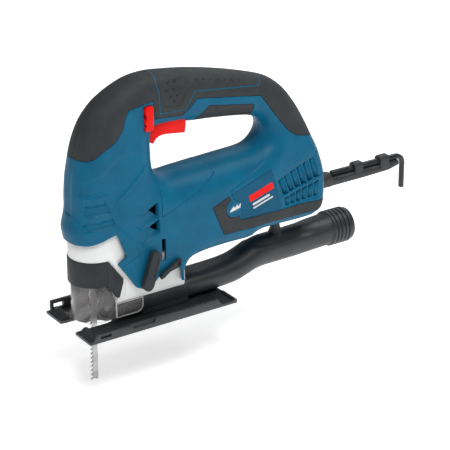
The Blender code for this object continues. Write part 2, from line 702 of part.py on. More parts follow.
def motor():
    z = MOTOR_Z
    pinion = prism("armature_shaft", gear_outline(PINION_TEETH, 0.5, 0, z), 46.0, 54.5, "x", STEEL)
    profile = [(50, 0), (50, 2.2), (56, 2.2), (56, 3.0), (186, 3.0), (186, 0)]
    spindle = turned_piece("spindle", profile, "x", (0, 0, z), 20)
    join(pinion, spindle)
    ring("front_bearing", "x", (0, 0, z), 3.05, 8.2, 58.5, 64.5, 24, STEEL)
    ring("rear_bearing", "x", (0, 0, z), 3.05, 8.0, 178, 184.5, 24, STEEL)
    slots = []
    for k in range(12):
        middle = 360 / 12 * k
        slots += [(middle - 11.5, 12.6), (middle + 11.5, 12.6), (middle + 12, 9.5), (middle + 18, 9.5)]
    outline = [(r * math.sin(math.radians(a)), z + r * math.cos(math.radians(a))) for a, r in slots]
    core = prism("armature_core", outline, 92, 142, "x", DARK_STEEL)
    for k, (a, b) in enumerate(((87.5, 93), (141, 147.5))):
        join(core, rod(f"winding_{k}", "x", (0, 0, z), 10.6, a, b, 20))
    cut(core, rod("core_bore", "x", (0, 0, z), 3.05, 80, 160, 20))
    ring("commutator", "x", (0, 0, z), 3.05, 9.8, 152, 168, 24, COPPER)
    fan()
    ring("stator", "x", (0, 0, z), 14.2, 21.8, 90, 144, 28, DARK_STEEL)
    for tag, side in (("left", -1), ("right", 1)):
        y0, y1 = sorted((side * 10.0, side * 19.5))
        block(f"carbon_brush_{tag}", (156.6, 163.4), (y0, y1), (z - 3.2, z + 3.2), CARBON)
        y0, y1 = sorted((side * 11.5, side * 22.0))
        holder = block(f"brush_holder_{tag}", (154.4, 165.6), (y0, y1), (z - 5.4, z + 5.4), BRASS)
        cut(holder, block(f"holder_bore_{tag}", (156.3, 163.7), sorted((side * 5, side * 20.3)),
                          (z - 3.5, z + 3.5)))


def fan():
    z = MOTOR_Z
    disc = ring("fan", "x", (0, 0, z), 3.05, 20.5, 68.5, 71.0, 32, BLACK)
    blades = []
    for k in range(8):
        angle = 2 * math.pi * k / 8
        c, s = math.cos(angle), math.sin(angle)
        corners = [(7.2, -0.7), (20.0, -0.7), (20.0, 0.7), (7.2, 0.7)]
        outline = [(a * c - b * s, z + a * s + b * c) for a, b in corners]
        blades.append(prism(f"fan_blade_{k}", outline, 70.5, 80, "x"))
    hub = ring("fan_hub", "x", (0, 0, z), 3.05, 7.6, 70.5, 80, 20)
    join(disc, hub, *blades)


def switch_and_controls():
    obj = block("switch_module", (88, 150), (-9.0, 9.0), (189.6, 208), BLACK)
    join(obj, block("switch_foot", (90, 96), (-7.5, 7.5), (186.6, 190)))
    paddle = [(84.9, 165.4), (86.6, 165.2), (89.5, 169.2), (94.6, 171.3), (100, 171.4), (119.8, 168.7),
              (121.0, 176.0), (121.0, 181.5), (112, 184.4), (86.4, 184.4), (82.2, 180.5), (82.2, 168.4)]
    prism("trigger", paddle, -12.3, 12.3, "y", RED)
    keys = [(72.0, 183), (80.2, 183), (80.2, 205.2), (73.2, 205.2), (73.2, 203.8), (72.0, 202.8),
            (72.0, 198.6), (73.2, 197.6), (73.2, 193.8), (72.0, 192.8), (72.0, 189.2), (73.2, 188.2),
            (72.0, 186.0)]
    lock = prism("lock_button", keys, -23.2, -14.0, "y", RED)
    lever = arc(64.8, 40.5, 5.4, 165, 340, 8) + [(78.9, 68.3), (76.5, 70.6), (70.6, 71.8), (69.4, 70.2)]
    obj = prism("orbital_lever", lever, -36.4, -30.2, "y", ANTHRACITE)
    slider = [(80.0, 41.5), (83.6, 42.6), (89.5, 47.0), (95.5, 48.3), (101.9, 50.8), (102.2, 56.4),
              (98.8, 56.6), (82.0, 47.4), (79.4, 44.5)]
    prism("blower_slider", slider, -33.2, -29.9, "y", ANTHRACITE)
    return lock


# ------------------------------------------------------------------ base, tube, key

def base_plate():
    half = BASE_W / 2
    notch = arc(NOTCH_L - NOTCH_HALF, 0, NOTCH_HALF, -90, 90, 10)
    outline = [(0, -half), (BASE_L, -half), (BASE_L, half), (0, half), (0, 13.2), (4, 12.5)]
    outline = outline + [(x, y) for x, y in reversed(notch)] + [(4, -12.5), (0, -13.2)]
    obj = prism("base_plate", outline, 0, SHEET, "z", BLACK)
    for side in (-1, 1):
        y0, y1 = sorted((side * (half - 3.6), side * half))
        rail = prism(f"rail_{side}", [(2.6, 1.0), (137.5, 1.0), (141, 2.6), (137.0, RAIL_H), (6.5, RAIL_H)],
                     y0, y1, "y")
        join(obj, rail)
        pocket = [(45.5, 4.4), (67.5, 4.4), (70.8, 12), (41.8, 12)]
        y0, y1 = sorted((side * (half - 2.2), side * (half + 5)))
        cut(obj, prism(f"rail_pocket_{side}", pocket, y0, y1, "y"))
    for side in (-1, 1):
        y0, y1 = sorted((side * 15.4, side * 37))
        toe = prism(f"toe_{side}", [(1.2, 1.5), (10.5, 1.5), (10.5, 6.4), (7.6, 6.4)], y0, y1, "y")
        join(obj, toe)
    for side in (-1, 1):
        lip = rod(f"rear_lip_{side}", "y", (BASE_L - 2.1, 0, 2.6), 2.1, *sorted((side * 18.5, side * half)), 12)
        join(obj, lip)
    clip = block("front_clip", (3.5, 26), (half - 3.4, half - 0.4), (1, 12.6))
    join(obj, clip)
    cut(obj, block("clip_window", (6.0, 16.5), (half - 8, half + 5), (4.6, 9.8)))
    cut(obj, block("screw_slot", (CLAMP_X - 22.5, CLAMP_X + 5.5), (-5.6, 5.6), (-3, 6)))
    return obj


def saddle_section(half):
    """The bracket from behind, its top an arc about the tilt axis."""
    reach = TILT_R - 0.4
    end = math.degrees(math.acos(half / reach))
    return [(-half, 3.0)] + arc(0, 0, reach, 180 - end, end, 12) + [(half, 3.0)]


def base_bracket():
    """The saddle that tilts on the head, with a narrow tongue forward between the hood's sides."""
    obj = prism("base_bracket", saddle_section(SADDLE_HALF), 68.8, 118.0, "x", BLACK)
    cut(obj, prism("duct", [(-14.5, 1), (14.5, 1), (14.5, 17.5), (11, 20.5), (-11, 20.5), (-14.5, 17.5)],
                   45, 130, "x"))
    tongue = prism("bracket_tongue", saddle_section(9.5), 52.5, 70.0, "x")
    cut(tongue, block("tongue_duct", (45, 80), (-7.6, 7.6), (0, 20.5)))
    join(obj, baked(tongue))
    cut(obj, rod("screw_hole", "z", (CLAMP_X, 0, 0), 3.3, 15, 40, 16))
    return obj


def base_clamp_screw():
    profile = [(11.5, 0), (11.5, 2.3), (8.0, 2.5), (8.0, 4.9), (12.6, 4.9), (12.6, 3.0), (29.5, 3.0),
               (29.5, 0)]
    turned_piece("base_clamp_screw", profile, "z", (CLAMP_X, 0, 0), 18, STEEL)


def sweep(name, stations, mat=None, steps=20, inner=False):
    """Loft of round-cornered sections along x: (x, z centre, half width, half height, roundness)."""
    points = []
    faces = []
    for x, zc, half_w, half_h, power in stations:
        for i in range(steps):
            a = 2 * math.pi * (i + 0.5) / steps
            c, s = math.cos(a), math.sin(a)
            k = (abs(c) ** power + abs(s) ** power) ** (-1 / power)
            points.append((x, half_w * k * c, zc + half_h * k * s))
    count = len(stations)
    for r in range(count - 1):
        for i in range(steps):
            j = (i + 1) % steps
            faces.append((r * steps + i, r * steps + j, (r + 1) * steps + j, (r + 1) * steps + i))
    faces.append(tuple(range(steps)))
    faces.append(tuple(range(count * steps - 1, (count - 1) * steps - 1, -1)))
    return add_mesh(name, points, faces, mat, True)


TUBE_STATIONS = [
    (119.0, 14.6, 17.0, 11.4, 2.8), (140, 14.6, 17.0, 11.3, 2.6), (158, 14.9, 16.6, 12.0, 2.4),
    (170, 15.6, 16.2, 12.8, 2.2), (180, 17.2, 15.9, 13.4, 2.1), (190, 20.4, 15.7, 14.2, 2.0),
    (200, 24.0, 15.5, 14.8, 2.0), (210, 25.6, 15.5, 15.2, 2.0), (222, 25.8, 15.5, 15.2, 2.0),
    (250, 26.2, 15.5, 15.4, 2.0), (287, 28.0, 15.6, 15.6, 2.0),
]


def dust_tube():
    obj = sweep("dust_tube", TUBE_STATIONS, BLACK, 18)
    profile = [(286, 0), (286, 15.9)]
    x = 288.0
    for k in range(4):
        profile += [(x, 15.9), (x + 0.6, 17.3), (x + 3.4, 17.3), (x + 4.0, 15.9)]
        x += 5.4
    profile += [(x, 15.9), (x + 3.0, 15.9), (x + 3.0, 0)]
    mouth = turned_piece("mouth", profile, "x", (0, 0, 28.1), 18)
    post = turned_piece("post", [(36, 0), (36, 8.5), (43, 5.6), (47, 4.6), (53.2, 4.2), (53.2, 0)], "z",
                        (228.5, 0, 0), 16)
    spigot = sweep("spigot", [(114.5, 12.9, 13.8, 7.0, 3.0), (121, 12.9, 13.8, 7.0, 3.0)], None, 20)
    join(obj, mouth, post, spigot)
    inside = [(s[0], s[1], s[2] - 2.0, s[3] - 2.0, s[4]) for s in TUBE_STATIONS]
    inside[0] = (121.5, 12.9, 12.0, 5.2, 3.0)
    inside = [(110, 12.9, 12.0, 5.2, 3.0)] + inside[:-1] + [(287, 28.0, 13.6, 13.6, 2.0),
                                                            (330, 28.3, 13.6, 13.6, 2.0)]
    cut(obj, sweep("tube_bore", inside, None, 20))
    return obj


def cord_sleeve():
    """The cord's bend relief, with a socket and two hooks on top that hold the hexagon key."""
    stations = [(262.0, 79.6, 9.6, 9.6, 2.0), (266.2, 79.6, 9.6, 9.6, 2.0), (266.4, 79.6, 7.2, 7.2, 2.2),
                (288.0, 79.6, 6.6, 7.4, 2.8), (291.0, 79.2, 6.3, 7.2, 2.8), (292.0, 77.0, 5.6, 4.6, 2.8),
                (330.0, 76.9, 5.0, 4.5, 2.8), (362.0, 77.2, 4.4, 4.2, 2.8), (374.0, 78.6, 3.8, 2.8, 2.8)]
    obj = sweep("cord_sleeve", stations, BLACK, 16)
    for k, (x0, x1) in enumerate(((319.5, 329.0), (350.5, 361.0))):
        arm = prism(f"key_hook_{k}", [(-5.0, 77), (5.0, 77), (5.0, 87.0), (2.9, 89.6), (-2.9, 89.6),
                                      (-5.0, 87.0)], x0, x1, "x")
        join(obj, arm)
    cut(obj, prism("key_way", hexagon(KEY_AF / 2 + 0.45, 0, KEY_Z), 293.0, 390, "x"))
    cut(obj, rod("cord_bore", "x", (0, 0, 76.6), 2.3, 255, 390, 14))
    return obj


def hexagon(half_flats, y, z):
    corner = half_flats / math.cos(math.radians(30))
    return [(y + corner * math.cos(math.radians(60 * i)), z + corner * math.sin(math.radians(60 * i)))
            for i in range(6)]


def hex_key():
    path = [(293.6, KEY_Z), (371.6, KEY_Z), (375.4, KEY_Z - 0.8), (378.6, KEY_Z - 3.2), (380.3, KEY_Z - 6.8),
            (380.7, KEY_Z - 11), (380.8, 50.5)]
    points = []
    for k, (x, z) in enumerate(path):
        before = path[max(k - 1, 0)]
        after = path[min(k + 1, len(path) - 1)]
        length = math.hypot(after[0] - before[0], after[1] - before[1])
        nx, nz = -(after[1] - before[1]) / length, (after[0] - before[0]) / length
        points += [(x + nx * b, a, z + nz * b) for a, b in hexagon(KEY_AF / 2, 0, 0)]
    faces = [tuple(range(6)), tuple(range(len(points) - 1, len(points) - 7, -1))]
    for k in range(len(path) - 1):
        for i in range(6):
            j = (i + 1) % 6
            faces.append((k * 6 + i, k * 6 + j, (k + 1) * 6 + j, (k + 1) * 6 + i))
    add_mesh("hex_key", points, faces, STEEL)


# ------------------------------------------------------------------ build

housing_halves()
soft_inserts()
gear_housing()
bushings()
plunger()
blade_clamp()
saw_blade()
gear_train()
blade_support()
sds_lever()
dust_hood()
motor()
switch_and_controls()
base_plate()
base_bracket()
base_clamp_screw()
dust_tube()
cord_sleeve()
hex_key()
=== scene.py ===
"""Looks of the jigsaw: fine meshes, materials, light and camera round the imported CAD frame.

Drawn like the CAD source: in millimetres from the front edge of the base plate (x), the middle
of the tool (y) and the sole (z), and set down in metres by to_metres.
"""

import math

import bmesh
import bpy
import numpy as np
from mathutils import Matrix, Vector


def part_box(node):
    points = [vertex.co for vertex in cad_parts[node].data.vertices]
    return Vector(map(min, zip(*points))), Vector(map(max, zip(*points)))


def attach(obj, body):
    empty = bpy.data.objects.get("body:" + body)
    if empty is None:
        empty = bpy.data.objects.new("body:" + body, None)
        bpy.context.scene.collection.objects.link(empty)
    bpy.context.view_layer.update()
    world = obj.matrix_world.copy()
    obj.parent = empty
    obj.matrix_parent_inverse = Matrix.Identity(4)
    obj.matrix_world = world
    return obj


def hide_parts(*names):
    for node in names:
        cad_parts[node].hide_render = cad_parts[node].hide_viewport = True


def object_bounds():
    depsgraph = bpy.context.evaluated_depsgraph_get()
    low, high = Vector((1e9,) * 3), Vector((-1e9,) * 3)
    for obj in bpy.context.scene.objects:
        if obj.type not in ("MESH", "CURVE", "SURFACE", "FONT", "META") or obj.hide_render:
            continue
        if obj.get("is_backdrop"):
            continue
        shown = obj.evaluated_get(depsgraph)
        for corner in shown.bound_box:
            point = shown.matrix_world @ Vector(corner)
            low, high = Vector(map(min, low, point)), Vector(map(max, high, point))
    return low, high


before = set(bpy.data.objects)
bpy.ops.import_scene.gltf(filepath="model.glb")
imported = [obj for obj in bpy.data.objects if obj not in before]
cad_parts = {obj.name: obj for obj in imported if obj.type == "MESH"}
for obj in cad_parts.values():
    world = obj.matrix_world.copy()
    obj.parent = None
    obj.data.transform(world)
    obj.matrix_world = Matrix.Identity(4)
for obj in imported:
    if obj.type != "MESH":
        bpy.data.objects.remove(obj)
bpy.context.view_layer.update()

MM = 0.001
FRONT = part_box("base_plate")[0].x / MM
BASE_L = (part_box("base_plate")[1].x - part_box("base_plate")[0].x) / MM
BASE_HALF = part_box("base_plate")[1].y / MM
PLUNGER_X = 29.0
HEAD_R = 23.3
TILT_R = 31.3
TILT_GAP = 0.4
ROLLER_X, ROLLER_Z = 36.2, 15.2
KEY_Z = 84.6
WALL = 2.6
GRID = 0.72
FINE = 0.7


# ---- node materials

def new_material(name):
    made = bpy.data.materials.new(name)
    made.use_nodes = True
    return made, made.node_tree, made.node_tree.nodes["Principled BSDF"]


def set_inputs(tree, node, values):
    """Each named input of the node gets its value: a plain one, or another node's output."""
    for name, value in values.items():
        if isinstance(value, bpy.types.NodeSocket):
            tree.links.new(value, node.inputs[name])
        else:
            node.inputs[name].default_value = value
    return node


def noise(tree, scale, detail=3.0, rough=0.5, stretch=None):
    """Noise over the object's own coordinates, scale in features per metre."""
    source = tree.nodes.new("ShaderNodeTexCoord").outputs["Object"]
    made = tree.nodes.new("ShaderNodeTexNoise")
    if stretch:
        mapping = tree.nodes.new("ShaderNodeMapping")
        source = set_inputs(tree, mapping, {"Scale": stretch, "Vector": source}).outputs["Vector"]
    values = {"Scale": scale, "Detail": detail, "Roughness": rough, "Vector": source}
    return set_inputs(tree, made, values).outputs["Fac"]


def ramp(tree, fac, low, high, start=0.35, end=0.65):
    """Maps a 0 to 1 value between two colours, or between two plain values."""
    if hasattr(low, "__len__"):
        made = tree.nodes.new("ShaderNodeMix")
        made.data_type = "RGBA"
        share = ramp(tree, fac, 0.0, 1.0, start, end)
        values = {"A": (*low, 1.0), "B": (*high, 1.0), "Factor": share}
    else:
        made = tree.nodes.new("ShaderNodeMapRange")
        values = {"From Min": start, "From Max": end, "To Min": low, "To Max": high, "Value": fac}
    return set_inputs(tree, made, values).outputs["Result"]


def finish_of(name, dark, light, rough, grain, metallic=0.0, grain_depth=0.00003, mottle=60.0,
              coat=0.0, stretch=None, grain_strength=0.35, specular=0.5):
    """A moulded, painted or machined finish: slow colour drift, uneven gloss and a fine grain."""
    made, tree, shader = new_material(name)
    bump = set_inputs(tree, tree.nodes.new("ShaderNodeBump"), {
        "Strength": grain_strength, "Distance": grain_depth,
        "Height": noise(tree, grain, 2.0, 0.6, stretch),
    })
    set_inputs(tree, shader, {
        "Base Color": ramp(tree, noise(tree, mottle, 4.0), dark, light),
        "Roughness": ramp(tree, noise(tree, mottle * 6, 3.0, 0.6, stretch), *rough),
        "Normal": bump.outputs["Normal"], "Metallic": metallic, "Coat Weight": coat,
        "Coat Roughness": 0.15, "Specular IOR Level": specular,
    })
    return made


def clear_plastic():
    made, tree, shader = new_material("clear_polycarbonate")
    tint = (0.90, 0.875, 0.865), (0.97, 0.955, 0.95)
    set_inputs(tree, shader, {
        "Transmission Weight": 0.95, "IOR": 1.35,
        "Base Color": ramp(tree, noise(tree, 90, 2.0), *tint),
        "Roughness": ramp(tree, noise(tree, 260, 3.0, 0.6), 0.03, 0.12),
    })
    return made


BLUE = finish_of(
    "blue_nylon", (0.0012, 0.102, 0.196), (0.0019, 0.122, 0.228), (0.38, 0.48), 2600, specular=0.16
)
PLATE = finish_of(
    "plate_blue", (0.0012, 0.078, 0.158), (0.0020, 0.090, 0.180), (0.26, 0.34), 900,
    grain_depth=0.00001, specular=0.14
)
SOFT = finish_of(
    "soft_rubber", (0.030, 0.034, 0.037), (0.038, 0.042, 0.045), (0.56, 0.70), 3400,
    grain_depth=0.00005, specular=0.22
)
HEAD = finish_of(
    "cast_head", (0.76, 0.765, 0.76), (0.82, 0.825, 0.82), (0.42, 0.54), 1500, grain_depth=0.00005
)
ANTHRACITE = finish_of(
    "anthracite_plastic", (0.022, 0.027, 0.031), (0.030, 0.035, 0.040), (0.46, 0.58), 2600,
    specular=0.22
)
RED = finish_of(
    "red_plastic", (0.80, 0.006, 0.004), (0.88, 0.010, 0.006), (0.34, 0.44), 1800,
    grain_depth=0.00002, specular=0.15
)
BLACK = finish_of("black_plastic", (0.020, 0.021, 0.023), (0.027, 0.0285, 0.031), (0.38, 0.50), 2200)
CORD_RUBBER = finish_of("black_rubber", (0.016, 0.017, 0.019), (0.022, 0.023, 0.025), (0.48, 0.60), 2600)
PAINTED = finish_of(
    "black_paint", (0.017, 0.019, 0.0205), (0.025, 0.0275, 0.0295), (0.34, 0.50), 900,
    grain_depth=0.00006, coat=0.15
)
STEEL = finish_of(
    "bright_steel", (0.50, 0.50, 0.49), (0.64, 0.64, 0.63), (0.24, 0.40), 1800, metallic=1.0,
    stretch=(1, 1, 0.12)
)
BLADE_STEEL = finish_of(
    "blade_steel", (0.36, 0.37, 0.38), (0.52, 0.53, 0.54), (0.30, 0.46), 2600, metallic=0.9,
    stretch=(0.15, 1, 1)
)
DARK_STEEL = finish_of(
    "dark_steel", (0.045, 0.045, 0.047), (0.075, 0.075, 0.078), (0.36, 0.50), 1500, metallic=0.9
)
KEY_STEEL = finish_of(
    "key_steel", (0.020, 0.022, 0.025), (0.036, 0.038, 0.042), (0.30, 0.46), 1500, metallic=0.5
)
COPPER = finish_of("copper", (0.60, 0.26, 0.12), (0.78, 0.36, 0.18), (0.28, 0.42), 1200, metallic=1.0)
BRONZE = finish_of(
    "sintered_bronze", (0.42, 0.27, 0.11), (0.55, 0.36, 0.16), (0.42, 0.55), 2400, metallic=1.0
)
BRASS = finish_of("brass", (0.66, 0.46, 0.15), (0.78, 0.57, 0.2), (0.28, 0.4), 1200, metallic=1.0)
CARBON = finish_of("carbon", (0.022, 0.022, 0.022), (0.035, 0.035, 0.035), (0.7, 0.85), 3000)
WHITE = finish_of("white_print", (0.66, 0.66, 0.65), (0.74, 0.74, 0.73), (0.42, 0.5), 2400)
# Whitish finish for strips of painted highlight: they stand in for the bright lines that light draws along
# the clear hood's thick edges.
EDGE_HIGHLIGHT = finish_of(
    "painted_edge_highlight", (0.60, 0.60, 0.59), (0.74, 0.74, 0.73), (0.30, 0.42), 1800, specular=0.6
)
CLEAR = clear_plastic()


# ---- meshes

def to_metres(points):
    moved = np.array(points, float).reshape(-1, 3) * MM
    moved[:, 0] += FRONT * MM
    return moved


def add_mesh(name, points, faces, turn=True):
    mesh = bpy.data.meshes.new(name)
    mesh.from_pydata(to_metres(points).tolist(), [], [list(face) for face in faces])
    mesh.update()
    obj = bpy.data.objects.new(name, mesh)
    bpy.context.scene.collection.objects.link(obj)
    if turn:
        turned = bmesh.new()
        turned.from_mesh(mesh)
        bmesh.ops.recalc_face_normals(turned, faces=turned.faces)
        turned.to_mesh(mesh)
        turned.free()
    return obj


def loft(name, points, steps, ends_last=False):
    """A closed mesh over rings of steps points. The order of its faces steers the Booleans."""
    size = len(points)
    ends = [tuple(range(steps)), tuple(range(size - 1, size - steps - 1, -1))]
    faces = []
    for r in range(0, size - steps, steps):
        for i in range(steps):
            j = (i + 1) % steps
            faces.append((r + i, r + j, r + steps + j, r + steps + i))
    return add_mesh(name, points, faces + ends if ends_last else ends + faces)


def prism(name, outline, low, high, axis="y"):
    """An outline pulled from low to high along an axis. Its points are the other two axes in order."""
    place = {
        "x": lambda a, b, c: (c, a, b),
        "y": lambda a, b, c: (a, c, b),
        "z": lambda a, b, c: (a, b, c),
    }[axis]
    return loft(name, [place(a, b, end) for end in (low, high) for a, b in outline], len(outline))


def block(name, x, y, z):
    return prism(name, [(x[0], y[0]), (x[1], y[0]), (x[1], y[1]), (x[0], y[1])], z[0], z[1], "z")


def turned_piece(name, profile, axis, centre, steps=48):
    """A profile of (along, radius) turned about an axis. A radius of 0 closes an end."""
    points = []
    rings = []
    for along, radius in profile:
        if radius <= 0:
            rings.append([len(points)])
            points.append((along, 0.0, 0.0))
            continue
        rings.append(list(range(len(points), len(points) + steps)))
        for i in range(steps):
            angle = 2 * math.pi * i / steps
            points.append((along, radius * math.cos(angle), radius * math.sin(angle)))
    faces = []
    count = len(rings)
    closed_loop = profile[0][1] > 0 and profile[-1][1] > 0
    for k in range(count if closed_loop else count - 1):
        a, b = rings[k], rings[(k + 1) % count]
        for i in range(steps):
            j = (i + 1) % steps
            if len(a) == 1 and len(b) > 1:
                faces.append((a[0], b[i], b[j]))
            elif len(b) == 1 and len(a) > 1:
                faces.append((a[i], b[0], a[j]))
            elif len(a) > 1:
                faces.append((a[i], b[i], b[j], a[j]))
    cx, cy, cz = centre
    turn = {
        "x": lambda p: (cx + p[0], cy + p[1], cz + p[2]),
        "y": lambda p: (cx + p[2], cy + p[0], cz + p[1]),
        "z": lambda p: (cx + p[1], cy + p[2], cz + p[0]),
    }[axis]
    return add_mesh(name, [turn(p) for p in points], faces)


def rod(name, axis, centre, radius, low, high, steps=32):
    return turned_piece(name, [(low, 0), (low, radius), (high, radius), (high, 0)], axis, centre, steps)


def bake(obj):
    """Puts what the object's modifiers make into its mesh."""
    graph = bpy.context.evaluated_depsgraph_get()
    mesh = bpy.data.meshes.new_from_object(obj.evaluated_get(graph))
    obj.modifiers.clear()
    obj.data = mesh


def boolean(operation):
    """A function that works each of the other objects into the first one, and uses them up."""
    def combine(obj, *others):
        for other in others:
            made = obj.modifiers.new("cut", "BOOLEAN")
            made.operation = operation
            made.object = other
            made.solver = "EXACT"
            bake(obj)
            bpy.data.objects.remove(other, do_unlink=True)
        return obj
    return combine


cut, join, keep = (boolean(operation) for operation in ("DIFFERENCE", "UNION", "INTERSECT"))


def finish(obj, mat, sharp):
    """Gives the object one material, and smooth shading apart from edges over sharp degrees."""
    obj.data.materials.clear()
    obj.data.materials.append(mat)
    obj.data.shade_smooth()
    obj.data.set_sharp_from_angle(angle=math.radians(sharp))


def piece(obj, body, mat, nodes=(), edge=0.0, angle=32.0, segments=2):
    """Rounds the piece's edges, gives it its finish and sets it on its CAD body."""
    if edge:
        clean = bmesh.new()
        clean.from_mesh(obj.data)
        bmesh.ops.remove_doubles(clean, verts=clean.verts, dist=0.01 * MM)
        bmesh.ops.dissolve_limit(clean, angle_limit=math.radians(1.0), verts=clean.verts, edges=clean.edges)
        clean.to_mesh(obj.data)
        clean.free()
        bevel = obj.modifiers.new("edges", "BEVEL")
        bevel.width = edge * MM
        bevel.segments = segments
        bevel.limit_method = "ANGLE"
        bevel.angle_limit = math.radians(angle)
        bake(obj)
    finish(obj, mat, 38)
    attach(obj, body)
    if nodes:
        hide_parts(*([nodes] if isinstance(nodes, str) else nodes))
    return obj


def span(side, near, far):
    """The y limits from near to far off the middle, on the side given as -1 or 1."""
    return sorted((side * near, side * far))


def arc(cx, cy, radius, start, end, steps):
    angles = [math.radians(start + (end - start) * i / steps) for i in range(steps + 1)]
    return [(cx + radius * math.cos(a), cy + radius * math.sin(a)) for a in angles]


def catmull_rom(p0, p1, p2, p3, t):
    """The point at share t of the way from p1 to p2, on the curve through all four."""
    return 0.5 * (2 * p1 + (p2 - p0) * t + (2 * p0 - 5 * p1 + 4 * p2 - p3) * t * t
                  + (3 * p1 - p0 - 3 * p2 + p3) * t ** 3)


def smooth_loop(points, per_span):
    """A closed Catmull-Rom curve through the points."""
    out = []
    count = len(points)
    for i in range(count):
        p0, p1, p2, p3 = (np.array(points[(i + k - 1) % count], float) for k in range(4))
        out += [catmull_rom(p0, p1, p2, p3, s / per_span) for s in range(per_span)]
    return np.array(out)


# ---- the housing as a field

# The housing seen from the side: (x, z) round its outside, then round the hand hole.
OUTSIDE = [
    (4.2, 60), (4.2, 76), (2.6, 88), (1, 98), (2.9, 107), (4.5, 116), (4.8, 130), (6.9, 152.8),
    (9.7, 167.7), (14.2, 182.4), (21.5, 197), (33, 210), (43.5, 217.3), (52, 221.8), (60.1, 225.2),
    (68.1, 227.8), (78, 229.5), (91.3, 229.8), (107.7, 227.9), (124.4, 225.5), (141.2, 222.3),
    (158.2, 218.4), (175.3, 213.9), (192.6, 208.7), (208, 203.5), (217, 199.3), (224.5, 194),
    (231.5, 187.5), (238.5, 179), (246.3, 167.5), (254.6, 152.2), (260.5, 139), (266, 126.5),
    (270.5, 113), (273.4, 100), (274.4, 84), (272.6, 68), (267, 58.8), (258, 54.6), (245, 53.8),
    (222, 53.8), (203, 53.8), (194, 52.2), (186, 49), (170, 48.6), (150, 48.6), (128, 48.6),
    (118.5, 46.8), (113.6, 41.5), (112.5, 34), (112.5, 22), (110, 10), (60, 8), (20, 8), (6, 14),
    (4.2, 40),
]
HAND_HOLE = [
    (85, 150), (84.8, 160), (85, 170), (87.5, 176.5), (94, 178.8), (108, 178.6), (120, 177.2),
    (128.7, 175.6), (146.3, 174), (163.8, 172), (181.8, 169.5), (193, 167.2), (202, 163),
    (207.5, 156), (208.4, 149.5), (205.6, 142.5), (199.4, 137.6), (190, 135.6), (171.6, 134.8),
    (145, 133.6), (118.9, 132.4), (103, 131.6), (93, 133.6), (87, 140),
]
# Half width and edge rounding of the housing round these points: (x, z, half width, rounding).
SECTIONS = [
    (28, 60, 23.8, 24), (26, 100, 24, 24), (26, 130, 24, 24), (27, 160, 24, 24), (36, 185, 23, 23),
    (48, 203, 21.5, 22), (62, 214, 20, 20), (90, 204, 19, 21), (130, 200, 18.5, 21),
    (170, 192, 18.5, 20), (202, 184, 19, 20), (225, 165, 20, 19), (238, 148, 22, 19),
    (66, 180, 21.5, 20), (66, 155, 24, 22), (68, 130, 27, 26), (58, 105, 27, 26), (62, 75, 29, 26),
    (60, 45, 29, 24), (95, 105, 29, 28), (130, 122, 28.5, 27), (185, 122, 28.5, 27),
    (150, 95, 29, 25), (200, 95, 29, 24), (105, 70, 29, 20), (140, 65, 29, 20), (200, 70, 29, 18),
    (106, 40, 29, 5), (118, 50, 28.5, 9), (222, 128, 26, 22), (248, 120, 26.5, 15),
    (258, 95, 27, 14), (255, 68, 27, 14),
]
SPREAD = 15.0
ROUNDNESS = 2.2


def squared_distance(x, z, a, b):
    """Squared distance to the straight stretch from a to b."""
    ex, ez = b[0] - a[0], b[1] - a[1]
    t = np.clip(((x - a[0]) * ex + (z - a[1]) * ez) / (ex * ex + ez * ez + 1e-12), 0, 1)
    return (x - a[0] - t * ex) ** 2 + (z - a[1] - t * ez) ** 2


def outline_distance(x, z, outline):
    """Signed distance to a closed side-view outline, negative inside it."""
    nearest = np.full(x.shape, 1e9)
    inside = np.zeros(x.shape, bool)
    for (ax, az), (bx, bz) in zip(outline, np.roll(outline, -1, axis=0)):
        nearest = np.minimum(nearest, squared_distance(x, z, (ax, az), (bx, bz)))
        crosses = ((az > z) != (bz > z)) & (x < (bx - ax) * (z - az) / (bz - az + 1e-12) + ax)
        inside ^= crosses
    nearest = np.sqrt(nearest)
    return np.where(inside, -nearest, nearest)


def section_at(x, z):
    weight_sum = np.zeros(x.shape)
    width = np.zeros(x.shape)
    rounding = np.zeros(x.shape)
    for px, pz, w, r in SECTIONS:
        far = (x - px) ** 2 + (z - pz) ** 2
        weight = np.exp(-far / (2 * SPREAD ** 2)) + 1e-4 / (1 + far)
        weight_sum += weight
        width += weight * w
        rounding += weight * r
    return width / weight_sum, rounding / weight_sum


def surface_half(x, z):
    """Half width of the housing's surface at a point of the side view."""
    x, z = np.array([float(x)]), np.array([float(z)])
    w, r = section_at(x, z)
    u = np.clip(1 + outline_distance(x, z, smooth_loop(OUTSIDE, 4)) / r, 0, 1)
    return float((w * (1 - u ** ROUNDNESS) ** (1 / ROUNDNESS))[0])


def housing_field(xs, ys, zs):
    """Below zero inside the housing, over the grid of xs, ys and zs."""
    x, z = np.meshgrid(xs, zs, indexing="ij")
    d = np.maximum(outline_distance(x, z, smooth_loop(OUTSIDE, 4)),
                   -outline_distance(x, z, smooth_loop(HAND_HOLE, 4)))
    w, r = section_at(x, z)
    u = np.maximum(0, 1 + d / r)
    v = np.abs(ys)[None, :, None] / w[:, None, :]
    return (u[:, None, :] ** ROUNDNESS + v ** ROUNDNESS) ** (1 / ROUNDNESS) - 1


